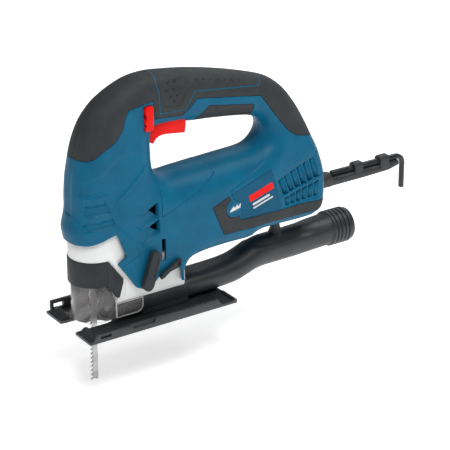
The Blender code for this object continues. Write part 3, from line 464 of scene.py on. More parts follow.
def surface_nets(values, origin, step):
    """Points and quads over the zero level of a grid of values, facing out."""
    inside = values < 0
    shape = np.array(values.shape) - 1
    total = np.zeros((*shape, 3), np.float32)
    count = np.zeros(shape, np.float32)
    for a in np.ndindex(2, 2, 2):
        for axis in range(3):
            if a[axis]:
                continue
            b = list(a)
            b[axis] = 1
            va, vb = (values[tuple(slice(o, o + n) for o, n in zip(c, shape))] for c in (a, b))
            crossing = (va < 0) != (vb < 0)
            t = np.where(crossing, va / np.where(va == vb, 1, va - vb), 0)
            for k in range(3):
                total[..., k] += np.where(crossing, a[k] + (t if k == axis else 0), 0)
            count += crossing
    used = count > 0
    index = np.full(shape, -1)
    index[used] = np.arange(used.sum())
    points = (np.argwhere(used) + total[used] / count[used][:, None]) * step + np.array(origin)
    quads = []
    for axis in range(3):
        one, two = (axis + 1) % 3, (axis + 2) % 3
        low = [slice(1, -1)] * 3
        low[axis] = slice(0, -1)
        high = list(low)
        high[axis] = slice(1, None)
        before = inside[tuple(low)]
        at = np.argwhere(before != inside[tuple(high)])
        leaving = before[tuple(at.T)]
        base = at + 1
        base[:, axis] -= 1
        corners = []
        for d1, d2 in ((0, 0), (1, 0), (1, 1), (0, 1)):
            cell = base.copy()
            cell[:, one] -= d1
            cell[:, two] -= d2
            corners.append(index[tuple(cell.T)])
        quad = np.stack(corners, 1)
        quad[~leaving] = quad[~leaving][:, ::-1]
        quads.append(quad)
    return points, np.concatenate(quads)


def relaxed(points, quads, rounds=2):
    """Each point moved towards its neighbours' middle, which takes the grid's ripple off."""
    a = np.concatenate([quads[:, k] for k in range(4)] * 2)
    b = np.concatenate([quads[:, (k + turn) % 4] for turn in (1, 3) for k in range(4)])
    near = np.bincount(a, minlength=len(points))[:, None]
    for _ in range(rounds):
        total = np.stack([np.bincount(a, weights=points[b, k], minlength=len(points)) for k in range(3)], 1)
        points = 0.4 * points + 0.6 * total / near
    return points


def normals_of(points, faces):
    n = np.cross(points[faces[:, 1]] - points[faces[:, 0]], points[faces[:, 2]] - points[faces[:, 0]])
    total = np.zeros(points.shape)
    for k in range(3):
        for c in range(3):
            total[:, k] += np.bincount(faces[:, c], weights=n[:, k], minlength=len(points))
    return total / np.maximum(np.linalg.norm(total, axis=1), 1e-12)[:, None]


def clipped(rows, faces, s):
    """Triangles where s is below zero, cut along its zero level. rows holds each point's values."""
    inside = s < 0
    count = inside[faces].sum(1)
    made = [faces[count == 3]]
    new_a, new_b = [], []

    def between(a, b):
        new_a.append(a)
        new_b.append(b)
        return len(rows) + sum(map(len, new_a[:-1])) + np.arange(len(a))

    for kept in (1, 2):
        some = faces[count == kept]
        if not len(some):
            continue
        odd = inside[some] if kept == 1 else ~inside[some]
        first = odd.argmax(1)
        at = np.arange(len(some))
        a, b, c = (some[at, (first + k) % 3] for k in range(3))
        ab, ac = between(a, b), between(a, c)
        if kept == 1:
            made.append(np.stack([a, ab, ac], 1))
        else:
            made += [np.stack([ab, b, c], 1), np.stack([ab, c, ac], 1)]
    if new_a:
        a, b = np.concatenate(new_a), np.concatenate(new_b)
        low, high = np.minimum(a, b), np.maximum(a, b)
        t = (s[low] / (s[low] - s[high]))[:, None]
        rows_new = rows[low] * (1 - t) + rows[high] * t
        _, first, back = np.unique(low * len(rows) + high, return_index=True, return_inverse=True)
        renumber = np.concatenate([np.arange(len(rows)), len(rows) + back.reshape(-1)])
        rows = np.concatenate([rows, rows_new[first]])
        faces = renumber[np.concatenate(made)]
    else:
        faces = np.concatenate(made)
    good = (faces[:, 0] != faces[:, 1]) & (faces[:, 1] != faces[:, 2]) & (faces[:, 0] != faces[:, 2])
    used, faces = np.unique(faces[good], return_inverse=True)
    return rows[used], faces.reshape(-1, 3)


def skirted(rows, faces, depth, drop):
    """The sheet's open edges turned down into the body, their corner eased by drop."""
    ends = np.concatenate([faces[:, [0, 1]], faces[:, [1, 2]], faces[:, [2, 0]]])
    size = len(rows)
    forward = ends[:, 0] * size + ends[:, 1]
    backward = ends[:, 1] * size + ends[:, 0]
    edge = ends[~np.isin(forward, backward)]
    rim = np.unique(edge)
    place = np.full(size, -1)
    place[rim] = np.arange(len(rim))
    lowered = rows.copy()
    lowered[rim, :3] -= rows[rim, 3:] * drop
    deep = rows[rim].copy()
    deep[:, :3] -= deep[:, 3:] * depth
    a, b = edge[:, 0], edge[:, 1]
    da, db = size + place[a], size + place[b]
    walls = np.concatenate([np.stack([b, a, da], 1), np.stack([b, da, db], 1)])
    return np.concatenate([lowered, deep]), np.concatenate([faces, walls])


_sheets = {}


def housing_sheet(x, y, z, step):
    """The housing's surface inside a box, as rows of point and normal, and triangles."""
    key = (x, y, z, step)
    if key not in _sheets:
        xs, ys, zs = (np.arange(a - 2 * step, b + 2 * step, step) for a, b in (x, y, z))
        points, quads = surface_nets(housing_field(xs, ys, zs), (xs[0], ys[0], zs[0]), step)
        points = relaxed(points, quads)
        faces = np.concatenate([quads[:, [0, 1, 2]], quads[:, [0, 2, 3]]])
        _sheets[key] = (np.concatenate([points, normals_of(points, faces)], 1), faces)
    rows, faces = _sheets[key]
    return rows.copy(), faces.copy()


LEFT_BOX = ((-2.0, 278.0), (-31.0, 0.0), (4.0, 234.0))


def skin(name, inside, outside=(), relief=None, depth=WALL, drop=0.25, inset=0.0, box=LEFT_BOX,
         step=None, middle=0.12, mirror=False):
    """A piece of the housing's surface: within every outline of inside and out of every one of outside.
    relief gives each point's height over the surface in millimetres."""
    rows, faces = housing_sheet(*box, step or GRID)
    if middle is not None:
        rows, faces = clipped(rows, faces, rows[:, 1] + middle)
    for sign, outlines in ((1, inside), (-1, outside)):
        for outline in outlines:
            away = outline_distance(rows[:, 0], rows[:, 2], np.array(outline))
            rows, faces = clipped(rows, faces, sign * away)
    rows[:, 3:] /= np.maximum(np.linalg.norm(rows[:, 3:], axis=1), 1e-9)[:, None]
    height = np.full(len(rows), -inset)
    if relief:
        height = height + relief(rows[:, 0], rows[:, 1], rows[:, 2])
    rows[:, :3] += rows[:, 3:] * height[:, None]
    rows, faces = skirted(rows, faces, depth, drop)
    if mirror:
        rows[:, 1] *= -1
        faces = faces[:, ::-1]
    return add_mesh(name, rows[:, :3], faces, turn=False)


def skin_piece(name, mat, nodes, slot, inside, outside=(), relief=None, **how):
    """A skin with its material, fixed to the tool."""
    piece(skin(name, inside, outside, relief, **how), "tool", mat, nodes)


def grown(outline, by):
    """The outline moved out by a distance, or in if it is negative."""
    points = [np.array(p, float) for p in outline]
    area = sum(a[0] * b[1] - b[0] * a[1] for a, b in zip(points, points[1:] + points[:1]))
    side = 1 if area > 0 else -1
    out = []
    for i, here in enumerate(points):
        before, after = points[i - 1], points[(i + 1) % len(points)]
        n1 = np.array([(here - before)[1], -(here - before)[0]])
        n2 = np.array([(after - here)[1], -(after - here)[0]])
        n1 /= np.linalg.norm(n1)
        n2 /= np.linalg.norm(n2)
        out.append(tuple(here + side * by * (n1 + n2) / max(1 + n1 @ n2, 0.35)))
    return out


# ---- regions of the side view

RUBBER_LINE = [
    (-10, 165), (14, 165), (20, 167.5), (27.7, 173), (41.5, 180), (48.8, 188.3), (52.5, 199.5),
    (56.5, 205.5), (81.8, 208.9), (83.3, 191.1), (115, 186.9), (128.9, 201), (197.5, 189.7),
    (202.9, 183), (226.3, 150.8), (236, 143.8), (262, 138), (300, 136),
]
RUBBER_REGION = RUBBER_LINE + [(300, 250), (-10, 250)]
PAD_REGION = [
    (91, 250), (90, 229), (87.8, 222), (89.3, 214), (89.5, 195.5), (116.4, 193.2), (127.1, 209),
    (197.8, 199.4), (203.6, 205.2), (212, 220), (212, 250),
]
FINGER_REGION = [(128.5, 160), (130, 180), (141.8, 192), (190.8, 183.2), (193, 160)]
BUMPER_REGION = [
    (138.2, 96.4), (156.2, 103.5), (163, 92), (170, 76.8), (237, 76), (263, 74.5), (290, 74),
    (290, 63.5), (239, 65), (151, 66.5),
]
PLATE_REGION = [
    (171.2, 77.6), (166.4, 93.4), (158.6, 104.4), (193.1, 115.6), (203.6, 118.6), (208.6, 103.6),
    (215.4, 77.2),
]
BADGE = (162.9, 90.8, 6.6)
BADGE_SEAT = 9.4
HEAD_OPENING = [
    (-20, 86.4), (12, 87), (25.8, 90.2), (38.5, 94), (47.1, 70.9), (38.9, 64), (50.6, 46.6),
    (56.1, 38.3), (62, 35.4), (70, 35.4), (76, 39), (82, 44), (97, 49.5), (102.4, 49.5),
    (107.6, 31.5), (109.4, 31.5), (111, 36), (125, 30), (125, 0), (-20, 0),
]
FRONT_VENTS = [
    [(71.1, 110), (80.3, 114.8), (80.2, 101.8)],
    [(71.4, 93.4), (81, 98.2), (80.9, 86.8)],
]
VENT_RAMPS = [
    [(54, 100.5), (80.6, 115.2), (80.6, 101.4), (62, 92.5)],
    [(55.5, 85.5), (81.2, 98.6), (81.2, 86.4), (64, 78)],
]
SIDE_SLOT = [(83.4, 57.5), (87.6, 57.5), (87.6, 79), (83.4, 79)]
LOCK_SLOT = [(71.6, 182.5), (80.6, 182.5), (80.6, 205.6), (71.6, 205.6)]
TRIGGER_SLOT = [(80, 160), (122, 160), (122, 181.5), (80, 184.5)]
COLLAR = [
    (-10, 80), (-10, 114.5), (3.6, 113.5), (6, 108.5), (9, 103), (13, 99.5), (26, 100.5),
    (38, 101.5), (46, 94.5), (53, 84), (60, 70), (40, 60),
]
NOSE_RIBS = [(6, 96), (6, 136), (23.6, 136), (31, 121.5), (36.2, 106.5), (38.2, 99)]
NOSE_PANEL = [(9.8, 145.5), (27.1, 152.3), (45, 166), (62, 166), (70.4, 150.5), (60.1, 140.7), (47, 130.8),
              (40.1, 125.4), (43.5, 103.5), (31.5, 131.5), (24, 136.5), (8.5, 134)]
BARREL_PANEL = [(75.4, 149.1), (85.2, 137.4), (84.2, 100.6), (126.9, 116.7), (145.6, 127.1), (142.5, 140.9),
                (142.5, 175), (75.4, 175)]
LOUVRE_FIELD = [(209.8, 106.6), (256.4, 122.4), (264, 101.5), (262.6, 77.6), (217.6, 76.6)]
LOUVRE_RIDGE = [(216.8, 86.4), (216.4, 89.2), (264, 99.6), (264, 96)]
DIAL_POINTS = [(50.6, 57), (54, 62), (59.2, 65.4), (65, 66.8)]
# Each row of rear louvres: its lower edge's two ends, then its upper edge's.
LOUVRE_ROWS = [
    ((217.9, 89.2), (261.4, 99), (211.9, 105), (255.3, 120)),
    ((220.1, 78.2), (259.8, 79.8), (218.9, 86.4), (261.4, 95.4)),
]


def louvre_outlines():
    """Slanted rear louvres, two rows of six, each four corners in the side view."""
    def at(a, b, share):
        return (a[0] + (b[0] - a[0]) * share, a[1] + (b[1] - a[1]) * share)

    found = []
    for k in range(6):
        s0, s1 = (k + 0.08) / 6, (k + 0.86) / 6
        for low0, low1, high0, high1 in LOUVRE_ROWS:
            found.append([at(low0, low1, s0), at(low0, low1, s1), at(high0, high1, s1),
                          at(high0, high1, s0)])
    return found


def groove(x, z, line, depth, half):
    """A rounded groove along an open line."""
    nearest = np.minimum.reduce([squared_distance(x, z, a, b) for a, b in zip(line, line[1:])])
    return -depth * np.clip(1 - np.sqrt(nearest) / half, 0, 1)


def fade(value, start, width):
    """0 at start, 1 at start + width and beyond, straight in between."""
    return np.clip((value - start) / width, 0, 1)


def within(x, z, outline, soft):
    """1 well inside the outline, 0 outside it, with an edge soft millimetres wide."""
    return np.clip(0.5 - outline_distance(x, z, np.array(outline, float)) / soft, 0, 1)


# The ribs low on the nose: ledges that face up, each over a groove, as (height, relief).
RIB_PROFILE = [
    (99.6, 0.6), (101.2, -1.6), (104.9, -1.6), (106, -2.4), (107.4, -1.3), (113.2, 0.3),
    (114.8, -1.6), (121.9, -1.6), (123, -2.4), (124.4, -1.3), (131, 0.3), (132.4, -0.6),
]


def shell_relief(x, y, z):
    h = 1.0 * within(x, z, COLLAR, 1.5)
    up, rib = np.array(RIB_PROFILE).T
    off_band = fade(np.abs(y), 16.4, 1.1)
    h = h + within(x, z, NOSE_RIBS, 1.4) * off_band * np.interp(z - 0.07 * (x - 9), up, rib)
    on_band = fade(np.abs(y), 3.0, 2.4) * (1 - off_band)
    h = h + 0.75 * on_band * fade(x, 15, -2) * fade(z, 96, 5) * fade(z, 158, -14)
    h = h - 0.7 * within(x, z, NOSE_PANEL, 1.6)
    h = h + groove(x, z, [(40.1, 125.4), (60.1, 140.7), (70.4, 150.5)], -0.7, 1.8)
    h = h + groove(x, z, [(158, 108.2), (176, 116.6), (197, 126.4)], 0.9, 1.6)
    h = h + groove(x, z, [(120, 57.5), (150, 58.6), (200, 59.2), (262, 61)], 0.7, 1.6)
    h = h + groove(x, z, [(209.5, 107.5), (256.5, 123.6), (276, 129.5)], 0.8, 1.5)
    for ramp_area in VENT_RAMPS:
        x0, x1 = ramp_area[0][0], ramp_area[1][0]
        h = h - 4.2 * within(x, z, ramp_area, 1.6) * fade(x, x0, x1 - x0)
    h = h - 0.9 * within(x, z, LOUVRE_FIELD, 1.4) * (1 - within(x, z, LOUVRE_RIDGE, 1.2))
    for px, pz in DIAL_POINTS:
        h = h + 0.5 * np.clip(1.6 - np.hypot(x - px, z - pz), 0, 1)
    return np.minimum(h, 0.9)


def pad_relief(x, y, z):
    """The pad's pressed trapezoid, its cluster of dimples and the row along its top."""
    trapezoid = [(93.2, 222), (93.8, 200.5), (111.5, 198.2), (120.8, 216.5), (118, 222)]
    h = -0.9 * within(x, z, trapezoid, 1.8) + groove(x, z, trapezoid[1:4], 0.5, 1.3)
    for px, pz in PAD_DIMPLES:
        h = h - 1.3 * np.clip(1 - (np.hypot(x - px, z - pz) / 1.35) ** 2, 0, 1)
    return h


PAD_DIMPLES = [(100, 221), (107.5, 220.6), (97.5, 214.8), (104.6, 214.8), (111.8, 214.4),
               (101.2, 208.6), (108.4, 208.4), (104.8, 203.4)]
PAD_DIMPLES += [(131.0 + 7.6 * k, 217.6 - 1.75 * k) for k in range(7)]


def circle(centre, radius, steps=40):
    return [(centre[0] + radius * math.cos(2 * math.pi * i / steps),
             centre[1] + radius * math.sin(2 * math.pi * i / steps)) for i in range(steps)]


# ---- shells, rubber and plates

def housing_pieces():
    openings = [RUBBER_REGION, FINGER_REGION, BUMPER_REGION, HEAD_OPENING, SIDE_SLOT, TRIGGER_SLOT,
                grown(PLATE_REGION, 0.15), BARREL_PANEL, *FRONT_VENTS, *louvre_outlines()]
    badge_hole = circle(BADGE, BADGE[2] + 0.2)
    for tag, mirror in (("left", False), ("right", True)):
        lock = [] if mirror else [LOCK_SLOT]
        skin_piece(f"shell_{tag}", BLUE, f"housing_{tag}", "blue_shell", [], openings + lock,
                   shell_relief, mirror=mirror)
        skin_piece(f"barrel_panel_{tag}", BLUE, (), "blue_shell", [grown(BARREL_PANEL, -0.22)],
                   [TRIGGER_SLOT], inset=-0.25, drop=0.3, mirror=mirror)
        skin_piece(f"grip_{tag}", SOFT, f"grip_rubber_{tag}", "soft_rubber",
                   [grown(RUBBER_REGION, -0.25)], [grown(PAD_REGION, 0.55)], drop=0.45, mirror=mirror)
        skin_piece(f"pad_seam_{tag}", BLUE, (), "blue_shell",
                   [grown(PAD_REGION, 0.75), grown(RUBBER_REGION, -0.5)], [grown(PAD_REGION, -0.1)],
                   inset=0.12, drop=0.0, depth=1.5, mirror=mirror)
        skin_piece(f"bumper_{tag}", SOFT, f"side_bumper_{tag}", "soft_rubber",
                   [grown(BUMPER_REGION, -0.25)], [circle(BADGE, BADGE_SEAT + 0.3)], drop=0.4,
                   inset=-0.3, mirror=mirror)
        skin_piece(f"badge_seat_{tag}", BLUE, (), "blue_shell",
                   [circle(BADGE, BADGE_SEAT), grown(BUMPER_REGION, 6.0)],
                   [badge_hole, grown(PLATE_REGION, 0.15)], drop=0.3, inset=-0.3, mirror=mirror)
        name_plate(tag, mirror, badge_hole)
    skin_piece("grip_top_pad", SOFT, "grip_pad", "soft_rubber", [grown(PAD_REGION, -0.15)], (),
               pad_relief, drop=0.35, box=((84, 216), (-24, 24), (190, 233)), step=FINE, middle=None)
    skin_piece("finger_grip", SOFT, "finger_pad", "soft_rubber", [grown(FINGER_REGION, -0.25)],
               drop=0.4, box=((126, 195), (-22, 22), (158, 194)), middle=None)


def name_plate(tag, mirror, badge_hole):
    """A flat plate with plain bars in place of a name, and a round badge with a saw's zigzag."""
    fine = dict(box=((150, 222), (-31, -8), (72, 124)), step=FINE, middle=None, mirror=mirror)
    skin_piece(f"plate_{tag}", PLATE, f"name_plate_{tag}", "plate_blue", [PLATE_REGION],
               [badge_hole], drop=0.3, **fine)
    skin_piece(f"badge_disc_{tag}", BLUE, f"badge_{tag}", "white_disc", [circle(BADGE, BADGE[2])],
               drop=0.2, inset=-0.3, **fine)
    bx, bz, _ = BADGE
    zigzag = [(bx - 6.0, bz - 3.5), (bx + 5.6, bz - 0.9), (bx + 6.0, bz + 4.0), (bx + 2.9, bz + 0.2),
              (bx + 2.4, bz + 3.3), (bx - 0.9, bz - 0.6), (bx - 1.4, bz + 2.4), (bx - 5.3, bz - 1.5)]
    mark = skin(f"badge_mark_{tag}", [zigzag], drop=0.0, inset=-0.42, depth=0.3, **fine)
    bars = [(180, 92.2, 26.5, 6.4, RED), (183, 88, 19, 2.2, WHITE), (183.4, 84.6, 22, 1.5, WHITE)]
    slope = 0.30
    for k, (x0, z0, length, tall, mat) in enumerate(bars):
        far, rise, lean = x0 + length, z0 + slope * length, 0.3 * tall
        bar = [(x0, z0), (far, rise), (far - lean, rise + tall), (x0 - lean, z0 + tall)]
        skin_piece(f"plate_bar_{k}_{tag}", mat, (), None, [bar], drop=0.0, inset=-0.10, depth=0.3,
                   **fine)
    piece(mark, "tool", WHITE, ())


def louvre_floors():
    """The slanted back of each rear louvre, deepest towards the front."""
    for tag, side in (("left", -1), ("right", 1)):
        points = []
        faces = []
        for low0, low1, high1, high0 in louvre_outlines():
            base = len(points)
            for (x, z), deep in ((low0, 3.5), (low1, 1.15), (high1, 1.15), (high0, 3.5)):
                points.append((x, side * (surface_half(x, z) - deep), z))
            faces.append((base, base + 1, base + 2, base + 3))
        floor = add_mesh(f"louvre_backs_{tag}", points, faces, turn=False)
        thick = floor.modifiers.new("thick", "SOLIDIFY")
        thick.thickness = 0.8 * MM
        piece(floor, "tool", BLUE, ())


# ---- head, band and hood

def head_plan(radius, half, rear, steps=40):
    """The head from above: a rounded front round the plunger's line, and straight sides to the rear."""
    front = [(PLUNGER_X - 0.5 + x * radius, y * half) for x, y in arc(0, 0, 1, 90, 270, steps)]
    return [(rear, half)] + front + [(rear, -half)]


def head_pieces():
    side = [(0, 46.5), (39, 46.5), (39, 20), (111.2, 20), (111.2, 58), (67, 66), (67, 84.4), (0, 84.4)]
    head = prism("gear_head", head_plan(HEAD_R, HEAD_R, 111.2), 20, 84.4, "z")
    keep(head, prism("head_side", side, -40, 40))
    hollow = arc(0, 0, TILT_R, 141, 39, 40)
    section = [(-40, 100), (-40, 30), (-HEAD_R, 30), (-21.8, 24.6)] + [
        (y, z) for y, z in hollow if abs(y) < 19.6] + [(21.8, 24.6), (HEAD_R, 30), (40, 30), (40, 100)]
    keep(head, prism("head_section", section, -5, 120, "x"))
    shoulder = prism("head_shoulder", head_plan(HEAD_R - 0.2, HEAD_R - 0.2, 50), 80, 95.5, "z")
    join(head, shoulder)
    cut(head, prism("head_room", head_plan(13.4, 16.4, 58.5), 40, 100, "z"))
    cut(head, block("roller_slot", (36, 48.5), (-9.5, 9.5), (20, 58)))
    cut(head, block("head_back_room", (51.5, 120), (-17.5, 17.5), (37, 54)))
    band_zone = [(-5, 10), (-5, 69.3), (31.5, 69.3), (47.5, 49), (47.5, 10)]
    for side in (-1, 1):
        cut(head, prism("band_zone", band_zone, *span(side, 22.6, 40)))
    front_zone = prism("band_front", head_plan(30, 30, 29), 40, 69.3, "z")
    cut(front_zone, prism("band_core", head_plan(22.6, 22.6, 40), 30, 80, "z"))
    cut(head, front_zone)
    piece(head, "tool", HEAD, "gear_housing", edge=0.5)

    band = prism("clamp_lever_band", head_plan(24, 24, 30), 44.6, 68.6, "z")
    ears = prism("ears", [(28, 44.6), (28, 68.6), (30.5, 68), (45, 48.5), (45, 44.5), (40.8, 30.8),
                          (38.2, 30.8), (30, 42)], -24, 24)
    join(band, ears)
    cut(band, prism("band_inside", head_plan(22.75, 22.75, 60), 10, 90, "z"))
    for side in (-1, 1):
        cut(band, block("band_crease", (27.9, 28.6), span(side, 23.7, 26), (30, 72)))
    piece(band, "sds_lever", ANTHRACITE, "sds_lever", edge=0.5)

    hood = prism("clear_hood", head_plan(22, 20.2, 68), 8.6, 44.1, "z")
    shape = [(0, 8.6), (62, 8.6), (66, 10.5), (68, 14), (68, 23.4), (38.2, 23.4), (38.2, 44.1), (0, 44.1)]
    keep(hood, prism("hood_side", shape, -40, 40))
    cut(hood, prism("hood_inside", head_plan(20.8, 19, 80), 0, 60, "z"))
    for k in range(3):
        z = 30.0 + 3.4 * k
        rib = prism("hood_rib", head_plan(22.3, 20.5, 17.5), z, z + 1.2, "z")
        cut(rib, prism("rib_room", head_plan(21.4, 19.6, 30), z - 2, z + 4, "z"))
        join(hood, keep(rib, block("rib_part", (6.4, 15.5), (-40, 0), (z - 1, z + 3))))
    for side in (-1, 1):
        join(hood, block("hood_stiffener", (37, 39), span(side, 19.8, 20.6), (9.5, 23.4)))
    piece(hood, "dust_hood", CLEAR, "dust_hood", edge=0.35)
    # Thin whitish strips along the hood's rims on each side: a painted highlight in place of the bright
    # edge lines of the clear plastic.
    rim_line = [(40, 9.3), (62, 9.3), (65.5, 11), (67.3, 14.2), (67.3, 22.8), (39.6, 22.8)]
    for tag, side in (("left", -1), ("right", 1)):
        rim_y = span(side, 20.1, 20.45)
        rim = prism(f"hood_highlight_rim_{tag}", grown(rim_line, 0.45), *rim_y)
        cut(rim, prism("rim_room", grown(rim_line, -0.25), -30, 30))
        join(rim, block("rim_bar", (38.6, 39.5), rim_y, (9, 27)))
        piece(rim, "dust_hood", EDGE_HIGHLIGHT)


def blade_support():
    """The roller in its fork, behind the clear hood."""
    half_profile = [(0.9, 5.6), (1.2, 6.35), (4.2, 6.35), (4.5, 6), (4.5, 2.1)]
    profile = [(-y, r) for y, r in reversed(half_profile)] + half_profile
    roller = turned_piece("support_roller", profile, "y", (ROLLER_X, 0, ROLLER_Z - 0.2), 64)
    piece(roller, "guide_roller", STEEL, "guide_roller")
    arm = arc(ROLLER_X, ROLLER_Z, 8.6, 150, 378, 28)
    arm += [(47.5, 40), (47.5, 55), (42.2, 55), (40.2, 40), (36, 30)]
    fork = prism("roller_fork", arm, -7.6, 7.6)
    cut(fork, block("fork_gap", (20, 43.4), (-4.9, 4.9), (5, 36)))
    for side in (-1, 1):
        cut(fork, rod("fork_dish", "y", (ROLLER_X, 0, ROLLER_Z), 4.6, *span(side, 7.0, 8), 40))
    join(fork, rod("bracket_pin", "y", (44, 0, 50), 2.0, -12.0, 12.0, 24))
    piece(fork, "roller_bracket", DARK_STEEL, "roller_bracket", edge=0.4)


def saw_blade():
    """T-shank blade: set teeth with gullets, a flat shank with a notched head."""
    back, thick = 30.0, 1.2
    pitch = 4.3
    tip = -58.5
    outline = [(back - 1.2, tip), (back - 5.0, tip + 2.0), (back - 7.0, tip)]
    z = tip + 1.5
    while z < 26 - pitch:
        outline += [(back - 7.6, z), (back - 5.9, z + 0.5), (back - 5.1, z + 1.4), (back - 5.3, z + 2.4),
                    (back - 6.6, z + 3.4)]
        z += pitch
    outline += [(back - 7.6, 26), (back - 6.6, 30), (back - 5.4, 40), (back - 5.4, 70), (back - 2.7, 71),
                (back, 70), (back, tip + 1.2)]
    blade = prism("blade", outline, -thick / 2, thick / 2)
    for side in (-1, 1):
        flare = [(back - 8.6, side * 0.25), (back - 8.6, side * 1.2), (back - 5.6, side * 0.72)]
        cut(blade, prism("tooth_grind", flare, tip - 1, 27, "z"))
    piece(blade, "saw_blade", BLADE_STEEL, "saw_blade", edge=0.12, segments=1)


# ---- controls

def controls():
    paddle = [
        (84.9, 165.4), (86.6, 165.2), (88, 167.6), (90, 169.7), (92.6, 170.9), (96, 171.5),
        (100, 171.4), (119.8, 168.7), (121, 176), (121, 181.5), (112, 184.4), (86.4, 184.4),
        (82.2, 180.5), (82.2, 168.4),
    ]
    trigger = prism("trigger_paddle", paddle, -12.3, 12.3)
    piece(trigger, "trigger", RED, "trigger", edge=0.9, segments=3)
    keys = [(72, 183), (80.2, 183), (80.2, 205.2), (73.2, 205.2), (73.2, 203.8), (72, 202.8),
            (72, 198.6), (73.2, 197.6), (73.2, 193.8), (72, 192.8), (72, 189.2), (73.2, 188.2),
            (72, 186)]
    lock = prism("lock_key", keys, -23.2, -14.0)
    piece(lock, "lock_button", RED, "lock_button", edge=0.5)
    lever = arc(64.8, 40.5, 5.4, 165, 340, 24) + [(78.9, 68.3), (76.5, 70.6), (70.6, 71.8), (69.4, 70.2)]
    knob = prism("orbital_knob", lever, -36.4, -30.2)
    slot = [(68.5, 48), (71, 47.2), (75.6, 66), (73, 67)]
    cut(knob, prism("knob_dish", slot, -37, -35.8))
    piece(knob, "orbital_lever", ANTHRACITE, "orbital_lever", edge=0.7, segments=3)
    slider = [(80, 41.5), (83.6, 42.6), (89.5, 47), (95.5, 48.3), (101.9, 50.8), (102.2, 56.4),
              (98.8, 56.6), (82, 47.4), (79.4, 44.5)]
    blower = prism("blower_key", slider, -33.2, -29.9)
    notch = [(97.2, 49.8), (100.4, 51), (100.4, 55.6), (97.2, 54.4)]
    cut(blower, prism("finger_notch", notch, -34, -31.4))
    piece(blower, "blower_slider", ANTHRACITE, "blower_slider", edge=0.4)


# ---- base, tube and key

def base_plate():
    half = BASE_HALF
    sheet = 2.5
    rail_h = 8.5
    notch = arc(32.5, 0, 12.5, -90, 90, 32)
    outline = [(0, -half), (BASE_L, -half), (BASE_L, half), (0, half), (0, 13.2), (4, 12.5)]
    outline = outline + list(reversed(notch)) + [(4, -12.5), (0, -13.2)]
    plate = prism("sole_plate", outline, 0, sheet, "z")
    rail = [(2.6, 1), (137.5, 1), (141, 2.6), (137.0, rail_h), (6.5, rail_h)]
    pocket = [(45.5, 4.4), (67.5, 4.4), (70.8, 12), (41.8, 12)]
    toe = [(1.2, 1.5), (10.5, 1.5), (10.5, 6.4), (7.6, 6.4)]
    for side in (-1, 1):
        join(plate, prism("rail", rail, *span(side, half - 3.6, half)))
        outer = span(side, half - 2.2, half + 5)
        cut(plate, prism("rail_pocket", pocket, *outer))
        cut(plate, block("rail_front_slot", (11, 22), outer, (3.6, 6.6)))
        join(plate, prism("toe", toe, *span(side, 15.4, 37)))
        join(plate, rod("rear_lip", "y", (BASE_L - 2.1, 0, 2.6), 2.1, *span(side, 18.5, half), 24))
    clip = block("front_clip", (3.5, 26), (half - 3.4, half - 0.4), (1, 12.6))
    join(plate, clip)
    cut(plate, block("clip_window", (6, 16.5), (half - 8, half + 5), (4.6, 9.8)))
    cut(plate, block("screw_slot", (85.5, 113.5), (-5.6, 5.6), (-3, 6)))
    piece(plate, "base_plate", PAINTED, "base_plate", edge=0.45)
    low, top = rail_h - 0.2, rail_h + 0.45
    points, faces = [], []
    for x in np.arange(76.0, 136.0, 2.4):
        for side in (-1, 1):
            y0, y1 = span(side, half - 3.3, half - 0.5)
            n = len(points)
            points += [(x, y0, low), (x + 1.1, y0, low), (x + 1.1, y1, low), (x, y1, low),
                       (x + 0.55, y0 + 0.2, top), (x + 0.55, y1 - 0.2, top)]
            faces += [(n, n + 1, n + 4), (n + 1, n + 2, n + 5, n + 4), (n + 2, n + 3, n + 5),
                      (n + 3, n, n + 4, n + 5), (n + 3, n + 2, n + 1, n)]
    ribs = add_mesh("rail_ribs", points, faces)
    piece(ribs, "base_plate", PAINTED, ())


def saddle_section(half):
    """The bracket from behind, its top an arc about the tilt axis."""
    reach = TILT_R - TILT_GAP
    end = math.degrees(math.acos(half / reach))
    return [(-half, 3.0)] + arc(0, 0, reach, 180 - end, end, 40) + [(half, 3.0)]


def base_bracket():
    half = 17.8
    saddle = prism("tilt_saddle", saddle_section(half), 68.8, 118.0, "x")
    cut(saddle, prism("duct", [(-14.5, 1), (14.5, 1), (14.5, 17.5), (11, 20.5), (-11, 20.5), (-14.5, 17.5)],
                      45, 130, "x"))
    tongue = prism("tongue", saddle_section(9.5), 52.5, 70.0, "x")
    cut(tongue, block("tongue_duct", (45, 80), (-7.6, 7.6), (0, 20.5)))
    join(saddle, tongue)
    cut(saddle, rod("screw_hole", "z", (108, 0, 0), 3.3, 15, 40, 24))
    for side in (-1, 1):
        cut(saddle, block("saddle_line", (60, 119), span(side, half - 0.5, half + 1), (8.2, 9)))
    piece(saddle, "base_bracket", BLACK, "base_bracket", edge=0.5)


TUBE_STATIONS = [
    (119, 14.6, 17, 11.4, 2.8), (140, 14.6, 17, 11.3, 2.6), (158, 14.9, 16.6, 12, 2.4),
    (170, 15.6, 16.2, 12.8, 2.2), (180, 17.2, 15.9, 13.4, 2.1), (190, 20.4, 15.7, 14.2, 2),
    (200, 24, 15.5, 14.8, 2), (210, 25.6, 15.5, 15.2, 2), (222, 25.8, 15.5, 15.2, 2),
    (250, 26.2, 15.5, 15.4, 2), (287, 28, 15.6, 15.6, 2),
]


def between_stations(stations, spans):
    """Smooth sections in between the given ones."""
    table = np.array(stations, float)
    out = []
    for i in range(len(table) - 1):
        p0, p1 = table[max(i - 1, 0)], table[i]
        p2, p3 = table[i + 1], table[min(i + 2, len(table) - 1)]
        out += [catmull_rom(p0, p1, p2, p3, s / spans) for s in range(spans)]
    return [tuple(row) for row in out] + [tuple(table[-1])]


